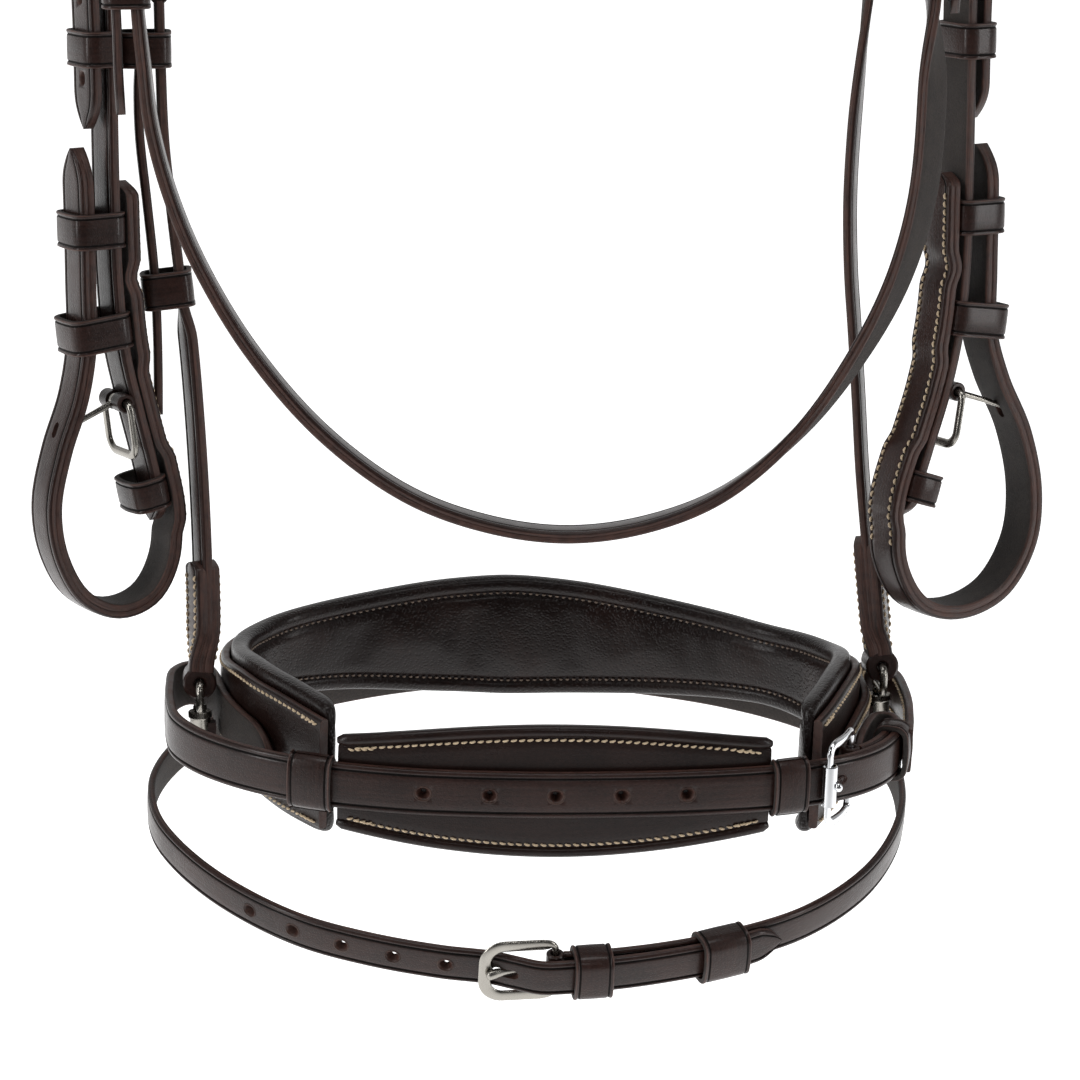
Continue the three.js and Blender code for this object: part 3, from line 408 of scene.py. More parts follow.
def strap(route, a, b, low, high, width, sec=CREASED, step=2.2, tip0=0, tip1=0):
    """A strap with a rounded, creased section, along a route from a to b. A tip narrows to an ogee point."""
    count = max(6, int((b - a) / step))
    stations = list(np.linspace(a, b, count + 1))
    for tip, end, sign in ((tip0, a, 1), (tip1, b, -1)):
        if tip:
            stations += [end + sign * tip * f for f in TIP_STEPS]
    stations = np.unique(np.round(stations, 3))
    rings = []
    for mm in stations:
        place = route.at(mm)
        share = max(0.0, min(1, (mm - a) / tip0 if tip0 else 1, (b - mm) / tip1 if tip1 else 1))
        half = value(width, mm) / 2 * (0.03 + 0.97 * (1 - (1 - share) ** 2.5))
        lo, hi = value(low, mm), value(high, mm)
        squeeze = min(1.0, half / 5.2)
        thin = min(1.0, 0.55 + 2 * share)
        out = 1 if hi > lo else -1
        rings.append([place.at(lo + f * (hi - lo) + out * e * thin, s * (half - d * squeeze))
                      for s, d, f, e, _ in sec])
    rings = np.array(rings)
    mid = rings[len(rings) // 2]
    return skin(rings, stations, around(mid), [q[4] for q in sec], cap=1)


def band(place, n0, n1, w0, w1, length, wall=WALL, turn_in=2.7, bow=0.8):
    """A leather loop round the box n0 to n1, w0 to w1, centred along t."""
    # The 3s are the keeper's crease groove, in the darker crease leather: painted shade.
    edge = [(0.0, 0.0, 2), (0.0, 0.9, 1), (0.18, 1.08, 1), (0.55, 1.12, 0), (0.95, 1.03, 0),
            (1.15, 0.94, 3), (1.35, 0.8, 3), (1.6, 0.8, 3), (1.85, 1.0, 0), (2.3, 1.04, 0)]
    sec = [(-0.5 + d / length, h, m) for d, h, m in edge] + [(0, 1.07, 0)]
    sec += [(0.5 - d / length, h, m) for (d, h, _), m in zip(edge[::-1], [m for *_, m in edge[::-1]][1:] + [2])]
    path = []
    for cn, cw, start in ((n1 - turn_in, w1 - turn_in, 0), (n0 + turn_in, w1 - turn_in, 90),
                          (n0 + turn_in, w0 + turn_in, 180), (n1 - turn_in, w0 + turn_in, 270)):
        path += [(cn, cw, x, y) for x, y in quarter(start, 15)]
        nxt = {0: (n0 + turn_in, cw, 0, 1), 90: (cn, w0 + turn_in, -1, 0), 180: (n1 - turn_in, cw, 0, -1),
               270: (cn, w1 - turn_in, 1, 0)}[start]
        path += [(cn + (nxt[0] - cn) * f, cw + (nxt[1] - cw) * f, nxt[2], nxt[3]) for f in (0.2, 0.4, 0.6, 0.8)]
    rings, u = [], [0]
    for cn, cw, dn, dw in path:
        ring = []
        for t, h, _ in sec:
            r = turn_in + h * wall + (0.1 if h > 0 else 0)
            mid = 1 - abs((cw - (w0 + w1) / 2) / ((w1 - w0) / 2)) ** 2
            lift = bow * mid * dn if dn > 0 else 0
            ring.append(place.at(cn + dn * r + lift, cw + dw * r, t * length))
        rings.append(ring)
    rings = np.array(rings)
    for i in range(len(rings)):
        u.append(u[-1] + float(np.linalg.norm(rings[(i + 1) % len(rings)][1] - rings[i][1])))
    return skin(rings, u, around(rings[0]), [s[2] for s in sec[:-1]] + [2], closed=True)


def keeper(name, place, low, high, width, length, body="headstall", **opts):
    half = width / 2 + GAP
    part = band(place, low - GAP, high + GAP, -half, half, length, **opts)
    return build(name + "_leather", [part], ALL, body, "strap_leather", [name])


def tube(points, radii, closed=False, flat=1.0, up=None, sides=14):
    """A round or flattened bar through points. flat is the ratio of its other half thickness to its radius."""
    pts = np.asarray(points, float)
    m = len(pts)
    radii, flat = np.broadcast_to(radii, m), np.broadcast_to(flat, m)
    rings, u, last = [], [0], None
    angles = np.linspace(0, 2 * math.pi, sides, endpoint=False)
    for i in range(m):
        a = pts[(i - 1) % m] if closed or i else pts[i]
        b = pts[(i + 1) % m] if closed or i < m - 1 else pts[i]
        t = unit(b - a)
        x = up if up is not None else (last if last is not None else (ACROSS if abs(t[1]) < 0.9 else UP))
        x = unit(x - t * np.dot(x, t))
        last = x
        y = np.cross(t, x)
        rings.append([pts[i] + radii[i] * (x * flat[i] * math.cos(q) + y * math.sin(q)) for q in angles])
        u.append(u[-1] + float(np.linalg.norm(pts[(i + 1) % m] - pts[i])))
    return skin(np.array(rings), u, around(np.array(rings[0])), [0] * sides, closed=closed)


def lathe(place, points, sides=28, axis="t"):
    """A turned shape: points are (radius, height) along the axis."""
    ax, x, y = {"t": (place.t, place.n, place.w), "w": (place.w, place.t, place.n)}[axis]
    rings = []
    for k in range(sides):
        q = math.radians(360 * k / sides)
        rings.append([place.p + (x * math.cos(q) + y * math.sin(q)) * r + ax * h for r, h in points])
    rings = np.array(rings)
    seg = around(np.array(points, float))
    return skin(rings, np.linspace(0, 20, sides + 1), seg, [0] * len(points), closed=True)


def ring_profile(r0, r1, h, soft=0.35):
    return [(r0, -h + soft), (r0, h - soft), (r0 + soft, h), (r1 - soft, h),
            (r1, h - soft), (r1, -h + soft), (r1 - soft, -h), (r0 + soft, -h)]


def box_part(place, n0, n1, w0, w1, t0, t1):
    verts = [place.at(n, w, t) for n in (n0, n1) for w in (w0, w1) for t in (t0, t1)]
    faces = [(0, 1, 3, 2), (4, 6, 7, 5), (0, 4, 5, 1), (2, 3, 7, 6), (0, 2, 6, 4), (1, 5, 7, 3)]
    if np.dot(np.cross(place.n, place.w), place.t) < 0:
        faces = [f[::-1] for f in faces]
    return verts, faces, [0] * 6, [(0, 0), (1, 0), (1, 1), (0, 1)] * 6


def stitches(route, a, b, w_off, n_off, pitch=2.75, length=1.95, radius=0.42, slant=13, sign=1, out=1):
    """A row of saddle stitches from a to b, on the side that out points to. Their ends dip into the leather."""
    parts = []
    for k in range(max(1, int((b - a) / pitch))):
        mm = a + (k + 0.5) * pitch
        place = route.at(mm)
        w = value(w_off, mm)
        c = place.at(value(n_off, mm), w)
        q = math.radians(slant) * sign
        along = place.t * math.cos(q) + place.w * math.sin(q)
        side = unit(np.cross(place.n, along))
        pts = [c + along * (x * length) + place.n * (out * radius * (0.75 - 5.2 * x * x))
               for x in (-0.5, -0.36, -0.18, 0, 0.18, 0.36, 0.5)]
        size = [radius * s for s in (0.45, 0.85, 1.0, 1.05, 1.0, 0.85, 0.45)]
        parts.append(tube(pts, size, sides=6, up=side))
    return parts


def seam(name, rows, body="headstall", thread=THREAD, slot="strap_leather"):
    """The stitches on both sides of a strap: rows gives those of one side, -1 or 1."""
    build(name, [stitch for side in (-1, 1) for stitch in rows(side)], [thread], body, slot)


def sewn_edge(route, a, b, turn_back, width, inset, face, side):
    """A row along a facing's edge from a to b, sewn back over itself at both ends."""
    rows = stitches(route, a, b, lambda mm: side * (width(mm) / 2 - inset), face, sign=side)
    for mid in (a + turn_back, b - turn_back):
        rows += stitches(route, mid - 4.5, mid + 4.5, lambda mm: side * (width(mm) / 2 - inset - 0.3), face + 0.3,
                         pitch=2.2, sign=-side)
    return rows


def apply_modifiers(obj):
    dg = bpy.context.evaluated_depsgraph_get()
    me = bpy.data.meshes.new_from_object(obj.evaluated_get(dg), preserve_all_data_layers=True, depsgraph=dg)
    obj.modifiers.clear()
    old, obj.data = obj.data, me
    bpy.data.meshes.remove(old)
    return obj


def punch(obj, cutters):
    """Cuts round holes and slots through a strap; their walls take the edge material."""
    tool = build(obj.name + "_tool", cutters, list(obj.data.materials))
    tool.data.polygons.foreach_set("material_index", [1] * len(tool.data.polygons))
    mod = obj.modifiers.new("holes", "BOOLEAN")
    mod.operation, mod.solver, mod.object = "DIFFERENCE", "MANIFOLD", tool
    apply_modifiers(obj)
    bpy.data.objects.remove(tool)
    finish_mesh(obj)
    return obj


def hole_tool(route, mm, low, high, r=1.8, long=0.6):
    place = route.at(mm)
    rim = []
    for k in range(24):
        q = 2 * math.pi * k / 24
        rim.append((r * math.cos(q), r * math.sin(q) + (long / 2 if math.sin(q) > 0 else -long / 2)))
    steps = ((low - 1, 0.25), (low + 0.6, 0.45), (high - 0.9, 0.95), (high - 0.5, 1.0), (high - 0.1, 1.12),
             (high + 0.3, 1.35), (high + 1, 1.35))
    rings = np.array([[place.at(n, w * s, t * s) for w, t in rim] for n, s in steps])
    return skin(rings, range(len(rings)), around(rings[0]), [0] * 24)


def hole_rims(name, route, places, face, body, r=1.8, long=0.6, out=1):
    """The raised lip that the punch leaves round each hole."""
    parts = []
    for mm in places:
        place, pts = route.at(mm), []
        for k in range(24):
            q = 2 * math.pi * k / 24
            along = (r + 0.75) * math.sin(q) + math.copysign(long / 2, math.sin(q))
            pts.append(place.at(face + out * 0.12, (r + 0.75) * math.cos(q), along))
        parts.append(tube(pts, 0.34, closed=True, up=place.n, flat=0.6, sides=8))
    build(name, parts, [RAW], body)


def slot_tool(place, n0, n1, width, t0, t1):
    rim = []
    for k in range(24):
        q = 2 * math.pi * (k + 0.5) / 24
        end = t1 - width / 2 if math.sin(q) > 0 else t0 + width / 2
        rim.append((width / 2 * math.cos(q), end + width / 2 * math.sin(q)))
    rings = np.array([[place.at(n, w, t) for w, t in rim] for n in (n0, n1)])
    return skin(rings, [0, 1], around(rings[0]), [0] * 24)


# ---- Buckles ----
def buckle_place(p, to_front, outward):
    t = unit(to_front)
    n = unit(outward - t * np.dot(outward, t))
    return Place(p, n, np.cross(t, n), t)


def buckle(name, place, body, tongue_body, width, span=SPAN, bar=BAR, room=1, rim=RIM, reach=None, lift=None,
           mat=STEEL, slot="satin_steel", bent=0.0, ball=False, nose=5.0, dip=0.0, thick=1.0):
    """A bar buckle: flattened sides and front with round corners, a round pivot bar, and a tongue on it."""
    half, front = width / 2 + room + rim / 2, span - bar / 2 + rim / 2
    path = []
    for cw, ct, r, start in ((half - nose, front - nose, nose, 0), (-half + nose, front - nose, nose, 90),
                             (-half + 2, 2, 2, 180), (half - 2, 2, 2, 270)):
        path += [(cw + r * x, ct + r * y) for x, y in quarter(start, 10)]
        if start in (90, 270):
            ts = np.linspace(front - nose, 2, 8)[1:-1]
            path += [(-half, t) for t in ts] if start == 90 else [(half, t) for t in ts[::-1]]
        elif start == 0:
            path += [(w, front) for w in np.linspace(half - nose, -half + nose, 8)[1:-1]]
        else:
            path += [(w, 0) for w in np.linspace(-half + 2, half - 2, 10)[1:-1]]
    broad = np.array([float(smooth(t, 0.4, 3.5)) for _, t in path])
    radii = bar / 2 + (rim - bar) / 2 * broad
    line = [place.at(bent * math.sin(math.pi * min(max(t / span, 0), 1)) ** 1.3, w, t) for w, t in path]
    ring = tube(line, radii, closed=True, up=place.n, flat=bar / 2 * (1 - 0.2 * broad) / radii, sides=16)
    build(name + "_frame_metal", [ring], [mat], body, slot, [name + "_frame"])
    reach = span + 0.6 if reach is None else reach
    lift = bar / 2 + GAP + 1.2 if lift is None else lift
    arm = math.hypot(reach, lift)
    q = math.atan2(lift, reach)
    n2, t2 = place.n * math.cos(q) - place.t * math.sin(q), place.t * math.cos(q) + place.n * math.sin(q)
    eye = lathe(place, ring_profile(bar / 2 + GAP * 0.6, bar / 2 + GAP + 1.05, 1.2, 0.4), 26, "w")
    start = bar / 2 + GAP + 0.35
    xs = np.concatenate([np.linspace(start, arm - 1.0, 9), arm - 1.0 + np.array([0.35, 0.65, 0.85, 0.97, 1.0])])
    size = np.concatenate([np.linspace(1.12, 0.9, 9), 0.9 * np.array([0.94, 0.76, 0.53, 0.25, 0.06])]) * thick
    if ball:
        size[7:12] *= 1.3
    pts = [place.p + t2 * x + n2 * (0.25 - dip) * math.sin(math.pi * min(1, x / arm) ** 1.6) for x in xs]
    arm_part = tube(pts, size, up=place.w, flat=1.1)
    build(name + "_tongue_metal", [eye, arm_part], [mat], tongue_body, slot, [name + "_tongue"])


def leather_eye(place, width, bar=BAR, slot=3.4):
    """The strap's fold round a pivot bar, with a gap for the tongue."""
    parts = []
    for s in (-1, 1):
        w0, w1 = slot / 2, width / 2
        h = (w1 - w0) / 2
        centre = Place(place.at(0, s * (w0 + w1) / 2, 0), place.n, place.w, place.t)
        parts.append(lathe(centre, ring_profile(bar / 2 + 0.35, bar / 2 + 1.95, h, 0.4), 28, "w"))
    return parts


def leather_piece(name, parts, body="headstall", mats=ALL):
    return build(name + "_leather", parts, mats, body, "strap_leather", [name])


# ---- Headpiece, cheekpieces and throatlatch ----
def arch_point(a, b, degrees, y):
    q = math.radians(degrees)
    return (a * math.sin(q), y, ARCH_Z + b * math.cos(q))


def arch_points(a, b, y, start, end, count):
    return [arch_point(a, b, start + (end - start) * i / (count - 1), y) for i in range(count)]


LOOP_POINTS = {
    -1: [(0, -172), (0, -215), (0, -255), (-0.6, -285), (-2.6, -308), (-7, -328), (-12, -348), (-15.4, -366),
         (-14.6, -382), (-8, -393), (3, -396), (14, -390.5), (21.5, -377), (23.6, -361), (19.6, -343), (13, -325),
         (9.6, -307), (9.3, -285), (9.3, -265), (9.6, -240)],
    1: [(0, -172), (0, -215), (0, -255), (-0.4, -283), (-2.6, -305), (-7.6, -326), (-14.6, -346), (-20.6, -365),
        (-21, -384), (-12, -398.5), (2.4, -402.5), (18.6, -397.5), (28.8, -383), (30.6, -366), (25.6, -345),
        (15.6, -325), (9.8, -307), (9.3, -286), (9.3, -266), (9, -243)],
}
TAIL = [(-0.9, 30), (-0.6, 23), (0.1, 17.5), (3, 11), (6.4, 5), (8.1, 0), (8.6, -7), (8.3, -16)]


def crown_end(side, y):
    return [arch_point(CROWN_A, CROWN_B, side * 74, y), arch_point(CROWN_A, CROWN_B, side * 82, y)]


def cheekpiece(side):
    name = "left" if side < 0 else "right"
    x0 = -141.7 if side < 0 else 144.5
    turn = math.radians(CHEEK_TURN)
    out = vec(side * math.cos(turn), side * math.sin(turn), 0)
    wide = np.cross(DOWN, out)

    def at(s, z):
        p = vec(x0, 0, 0) + out * s
        return vec(p[0], p[1], z)

    spine = Route([at(s, z) for s, z in LOOP_POINTS[side]], wide)
    upper = buckle_place(at(STRAP / 2 + 0.15, UPPER_Z), vec(0, 0, SPAN) + out * 3.1, out)
    buckle("cheek_upper_buckle_" + name, upper, "headstall", f"cheek_upper_buckle_{name}_tongue", CHEEK_WIDTH)
    lower_at = spine.at(spine.where_z(LOWER_Z))
    pivot = lower_at.at(STRAP + 2.6)
    hole = spine.where_z(-337, spine.where_z(-390))
    hole_at = spine.at(hole)
    target = hole_at.at(-LOOP / 2)
    lower = buckle_place(pivot, lower_at.t + lower_at.n * 0.12, lower_at.n)
    buckle("cheek_lower_buckle_" + name, lower, "headstall", f"cheek_lower_buckle_{name}_tongue", CHEEK_WIDTH,
           reach=float(np.dot(target - pivot, lower.t)), lift=float(np.dot(target - pivot, lower.n)))

    end = spine.where_z(-369)
    body = strap(spine, -1, end, 0.15, 0.15 + STRAP, CHEEK_WIDTH, tip1=8)
    eyes = leather_eye(upper, CHEEK_WIDTH) + leather_eye(lower, CHEEK_WIDTH)
    leather_piece("cheek_strap_" + name, [body, *eyes])

    places = [spine.where_z(z) for z in KEEPER_LEVELS]

    def bulge(mm):
        return (WALL + GAP) * (1 - smooth(min(abs(mm - p) for p in places), 10, 17))

    start = spine.where_z(-252)
    loop = strap(spine, start, spine.length, lambda mm: -0.15 - bulge(mm), lambda mm: -0.15 - LOOP - bulge(mm),
                 CHEEK_WIDTH, sec=DOUBLE, tip1=14, tip0=5)
    piece = leather_piece("bit_loop_strap_" + name, [loop])
    spare = spine.where_z(-300, hole)
    lo, hi = -LOOP - 0.15, -0.15
    punch(piece, [hole_tool(spine, spare, lo - 1, hi), slot_tool(hole_at, lo - 3, hi + 3, 3.2, -2.8, 2.8)])
    hole_rims("bit_loop_hole_lip_" + name, spine, [spare], lo, "headstall", out=-1)
    seam("bit_loop_stitching_" + name, lambda s: stitches(
        spine, start + 6, spine.where_z(-379), s * (CHEEK_WIDTH / 2 - 2.3),
        lambda mm: -0.15 - LOOP - bulge(mm), sign=s, out=-1))

    for i, which in enumerate(("upper", "lower")):
        z = KEEPER_LEVELS[i]
        inner = spine.at(places[i])
        reach = max(float(np.dot(spine.at(spine.where_z(level, hole - 12)).p - inner.p, inner.n))
                    for level in (z - 9, z, z + 7))
        keeper(f"billet_keeper_{which}_{name}", inner, 0.2, reach + LOOP + 0.15 + 0.4, CHEEK_WIDTH, 12)
    keeper("empty_keeper_" + name, spine.at(places[2]), 0.2, STRAP + 5.5, CHEEK_WIDTH, 11, bow=1.2)

    arch = [*crown_end(side, 0), (side * 139.4, 0, -106)]
    down = [at(s, UPPER_Z + rise) for s, rise in TAIL + [(7.9, -32), (7.8, -48), (7.8, -66)]]
    straight = np.cross(DOWN, vec(side, 0, 0))
    billet = Route([*arch, *down], [(0, straight), (0.2, straight), (0.34, wide), (1, wide)])
    keep = billet.where_z(-207)
    inner = at(STRAP / 2, -207)
    apart = float(np.dot(billet.at(keep).p - inner, out))
    keeper("cheek_upper_keeper_" + name, Place(inner, out, np.cross(DOWN, out), DOWN), -STRAP / 2 + 0.1,
           apart + STRAP / 2 + 0.2, CHEEK_WIDTH, 12)
    holes = [hole_tool(billet, billet.length - d, -STRAP / 2, STRAP / 2) for d in (17, 44)]
    body = strap(billet, 0, billet.length, -STRAP / 2, STRAP / 2, CHEEK_WIDTH, tip1=14)
    return body, [slot_tool(upper, -6, 12, 3.6, 1.5, 12), *holes]


THROAT = {-1: vec(-130.5, -34, 0), 1: vec(129, -34, 0)}


def throat_end(side):
    name = "left" if side < 0 else "right"
    out, foot = vec(side, 0, 0), THROAT[side]
    place = buckle_place(vec(foot[0] + side * 1.5, foot[1], THROAT_Z), vec(side * 3.1, 0, SPAN), out)
    buckle("throat_buckle_" + name, place, "headstall", f"throat_buckle_{name}_tongue", THROAT_WIDTH)
    tail = TAIL + ([(7.8, -32), (7.6, -46), (7, -60)] if side < 0 else [(8.4, -22), (8.8, -29)])
    down = [(foot[0] + side * s, foot[1], THROAT_Z + rise) for s, rise in tail]
    bend = [(side * 138.8, -22, -104), (side * 138, -26, -121)]
    route = Route([*crown_end(side, -22), *bend, *down], np.cross(DOWN, out))
    z = -186 if side < 0 else -184
    keep = Place(vec(foot[0], foot[1], z), out, np.cross(DOWN, out), DOWN)
    apart = float(np.dot(route.at(route.where_z(z)).p - keep.p, out))
    keeper("throat_keeper_" + name, keep, -1.3, apart + THIN / 2 + 0.3, THROAT_WIDTH, 10)
    body = strap(route, 0, route.length, -THIN / 2, THIN / 2, THIN_WIDTH, tip1=12)
    hole = hole_tool(route, route.length - 20, -THIN / 2, THIN / 2)
    return place, body, [slot_tool(place, -6, 12, 3.4, 1.5, 12), hole]


def headpiece():
    route = Route(arch_points(CROWN_A, CROWN_B, CROWN_Y, -79, 79, 17), ACROSS)
    crown = strap(route, 0, route.length, STRAP / 2, -STRAP / 2, CROWN_WIDTH, step=3)
    ends = [throat_end(-1), throat_end(1)]
    cheeks = [cheekpiece(-1), cheekpiece(1)]
    leather_piece("headpiece", [crown])
    for i, (part, tools) in enumerate([*cheeks, *[(e[1], e[2]) for e in ends]]):
        one = build(f"headpiece_billet_{i + 1}", [part], ALL)
        punch(one, tools)
    return [e[0] for e in ends]


def throatlatch(buckles):
    z = THROAT_Z - 2.5
    left_wide, right_wide = -unit(vec(0.09, 1, 0)), -unit(vec(0.68, 0.73, 0))
    back = vec(0, -1, 0)
    route = Route([
        (-132, -34, z), (-131.6, -34, -190), (-130, -35.5, -208), (-127.5, -38, -230), (-121.5, -41, -253),
        (-112, -44, -276), (-96, -47, -303), (-73, -50, -330), (-46, -51, -350.5), (-20, -51, -361),
        (7, -51, -365.3), (34, -50, -362.6), (60, -49, -353), (86, -47, -332.5), (106, -46, -306),
        (119, -43, -282), (127, -40, -255.5), (130.4, -36, -222), (130.6, -34, -190), (130.5, -34, z),
    ], [(0, back), (0.1, left_wide), (0.5, left_wide), (0.86, right_wide), (0.9, right_wide), (0.97, back),
        (1, back)])
    body = strap(route, 0, route.length, -2, 2, THROAT_WIDTH, sec=section(2.0, layers=2))
    eyes = [p for b in buckles for p in leather_eye(b, THROAT_WIDTH)]
    leather_piece("throatlatch", [body, *eyes])


def browband():
    route = Route([(-140, 14, -112), (-128, 46, -114), (-98, 76, -117), (-50, 95, -119.5), (0, 101, -120.5),
                   (50, 95, -119.5), (98, 76, -117), (128, 46, -114), (140, 14, -112)], UP)
    parts = [strap(route, 0, route.length, 2, -2, BROW_WIDTH, sec=section(2.2, layers=2), step=3)]
    for side in (-1, 1):
        place = Place(vec(side * 140.6, 0, -112), vec(1, 0, 0), ACROSS, UP)
        parts.append(band(place, -5.8, 5.8, -35, 13, 15, wall=1.8))
    leather_piece("browband", parts)
    seam("browband_stitching", lambda s: stitches(
        route, 14, route.length - 14, s * (BROW_WIDTH / 2 - 2.4), -2, pitch=3.6, out=-1), thread=DIM_THREAD)


# ---- Sliphead, hangers and swivels ----
BAILS = {-1: vec(-114.8, 4, -426), 1: vec(123.5, 8, -426)}


def fold(bail):
    place = Place(bail, vec(1, 0, 0), ACROSS, UP)
    return lathe(place, ring_profile(1.7, 5.8, THIN_WIDTH / 2, 0.7), 32, "w")


def fold_seam(name, route, a, b):
    """The stitches on both faces of a hanger's doubled end."""
    seam("hanger_stitching_" + name, lambda s: [
        stitch for face in (-4.3, 4.3) for stitch in stitches(route, a, b, s * 3.9, face, out=np.sign(face))])


def turned(side, *fractions):
    """A hanger's width directions: turned a little to the front between its runner and its doubled end."""
    a, b, c, d = fractions
    front = unit(vec(side * 0.34, 0.94, 0))
    return [(0, ACROSS), (a, ACROSS), (b, front), (c, front), (d, ACROSS), (1, ACROSS)]


def left_hanger():
    out, foot = vec(-1, 0, 0), vec(-124.5, 8, HANGER_Z)
    place = buckle_place(foot, vec(-3.1, 0, SPAN), out)
    buckle("hanger_buckle", place, "headstall", "hanger_buckle_tongue", THIN_WIDTH)
    route = Route([
        (-124.5, 8, HANGER_Z - 2), (-124.3, 8, -215), (-123.6, 7.6, -240), (-121.4, 7.2, -264), (-119, 6.8, -287),
        (-116.6, 6.2, -310), (-115, 5.6, -334), (-113.8, 5, -360), (-113.2, 4.5, -385), (-113.2, 4, -408),
        (-114.2, 4, -422)], turned(-1, 0.44, 0.5, 0.93, 0.99))
    parts = [strap(route, 0, route.length, -STRAP / 2, STRAP / 2, THIN_WIDTH),
             strap(route, route.where_z(-384), route.length, -4.3, 4.3, THIN_WIDTH, sec=DOUBLE, tip0=3),
             fold(BAILS[-1]), *leather_eye(place, THIN_WIDTH)]
    leather_piece("hanger_left", parts)
    fold_seam("left", route, route.where_z(-388), route.length - 2)
    keep_at = Place(route.at(route.where_z(-208)).p, out, np.cross(DOWN, out), DOWN)
    keeper("hanger_keeper", keep_at, -STRAP / 2, 12, THIN_WIDTH, 12)
    return place, route


def sliphead(buckle_at, hanger):
    tail = [(-124.5 - s + 1.75, 8, HANGER_Z + rise) for s, rise in TAIL]
    run = Route([
        (122.8, 8, -422), (120.8, 8, -403), (118.6, 8, -381), (116.2, 8, -356), (114.6, 8, -332), (112.8, 8, -307),
        (111.2, 8, -286), (110.6, 8, -262), (111.6, 8, -238), (113.6, 8, -214), (116, 8, -190),
        (118.4, 7.6, -160), (119.6, 5, -130), (118.4, 0, -98), *arch_points(118, 113.5, CROWN_Y, 75, -75, 11),
        (-118.6, 0, -98), (-121, 6, -128), (-123, 8, -146), *tail, (-132, 8, -222), (-131.8, 8, -238),
        (-129.6, 7.2, -262), (-127.6, 6.8, -286), (-127, 6.2, -310), (-127.2, 5.6, -333)
    ], turned(1, 0.001, 0.012, 0.2, 0.27))
    parts = [strap(run, 0, run.length, -THIN / 2, THIN / 2, THIN_WIDTH, tip1=12, sec=section(1.9)),
             strap(run, 0, 42, -4.3, 4.3, THIN_WIDTH, sec=DOUBLE, tip1=3), fold(BAILS[1])]
    piece = leather_piece("sliphead", parts[:1])
    punch(piece, [slot_tool(buckle_at, -6, 12, 3.4, 1.5, 12)]
          + [hole_tool(run, run.length - d, -THIN / 2, THIN / 2) for d in (24, 46, 68)])
    build("sliphead_fold", parts[1:], ALL)
    fold_seam("right", run, 2, 38)
    inner = hanger.at(hanger.where_z(-289))
    outer = run.at(run.nearest(vec(-127.6, 7.4, -289)))
    apart = float(np.dot(outer.p - inner.p, inner.n))
    keeper("hanger_runner", inner, -STRAP / 2 - 0.4, apart + THIN / 2 + 0.6, THIN_WIDTH + 0.6, 12.5,
           "hanger_runner")


def swivels():
    for side, lug in ((-1, 5.4), (1, 4.3)):
        name, foot = ("left" if side < 0 else "right"), BAILS[side]
        base = Place(vec(foot[0], foot[1], SWIVEL_Z), vec(1, 0, 0), ACROSS, UP)
        z0, span = 1.8, foot[2] - SWIVEL_Z - 1.8
        side_w, top, low = 5.7, z0 + span - 3, z0 + 3
        pts = [base.at(0, cw + 3 * x, ct + 3 * y)
               for cw, ct, start in ((side_w, top, 0), (-side_w, top, 90), (-side_w, low, 180), (side_w, low, 270))
               for x, y in quarter(start, 15)]
        stem = lathe(base, [(1.2, -2.3), (1.2, 1.0), (0, 1.0), (0, -2.3)], 18)
        cap = lathe(base, [(2.4, 0.7), (2.4, 1.6), (1.9, 2.2), (0, 2.4), (0, 0.7)], 24)
        ring = tube(pts, 1.4, closed=True, up=base.n)
        build(f"bail_{name}_metal", [ring, stem, cap], [STEEL], "headstall", "satin_steel", ["bail_" + name])
        r = 3.6
        cup = lathe(base, [(2.1, -4), (2.1, -0.3), (2.4, 0), (r + 0.2, 0), (r + 0.5, -0.3), (r + 0.5, -2.1),
                           (r + 0.2, -2.4), (r, -2.7), (r, -13.6), (r - 0.8, -15), (0, -15), (0, -4)], 32)
        reach = lug - r + 1
        plate = Place(vec(foot[0] - side * (r - 1 + reach / 2), foot[1], SWIVEL_Z - 8), vec(1, 0, 0), ACROSS, UP)
        build(f"swivel_barrel_{name}_metal", [cup], [STEEL], "noseband", "satin_steel", ["swivel_barrel_" + name])
        lug_part = box_part(plate, -reach / 2, reach / 2, -2.5, 2.5, -4, 4)
        build("swivel_tab_" + name, [lug_part], [GRAIN], "noseband")


# ---- Noseband ----
RING_NORMAL = unit(vec(0.02, -0.13, 1))


def on_nose(x, y):
    return (x, y, -440 + 0.13 * y - 0.02 * x)


NOSE = Route([on_nose(*p) for p in (
    (-73, -52.5), (-79.5, -42.5), (-87, -30.5), (-95, -15.5), (-101, 2), (-104, 21), (-102, 40), (-91, 58),
    (-68, 71.5), (-38, 79.5), (-10, 82.5), (20, 80), (50, 71.5), (80, 58), (102, 41), (112, 21), (111.5, 1), (105, -20),
    (98, -38), (90, -54.5))], RING_NORMAL)
NOSE_WIDTHS = [(0, 48), (0.06, 50), (0.13, 47), (0.2, 34), (0.27, 30), (0.36, 36), (0.43, 43), (0.5, 47),
               (0.57, 43), (0.65, 36), (0.73, 30), (0.8, 34), (0.87, 47), (0.94, 50), (1, 48)]


WIDTH_AT = np.interp(np.linspace(-0.2, 1.2, 561), *zip(*NOSE_WIDTHS))
BLUR = np.exp(-np.linspace(-2, 2, 33) ** 2)
WIDTH_AT = np.convolve(WIDTH_AT, BLUR / BLUR.sum(), "same")[80:481]


def nose_width(mm):
    return float(np.interp(mm / NOSE.length, np.linspace(0, 1, 401), WIDTH_AT))


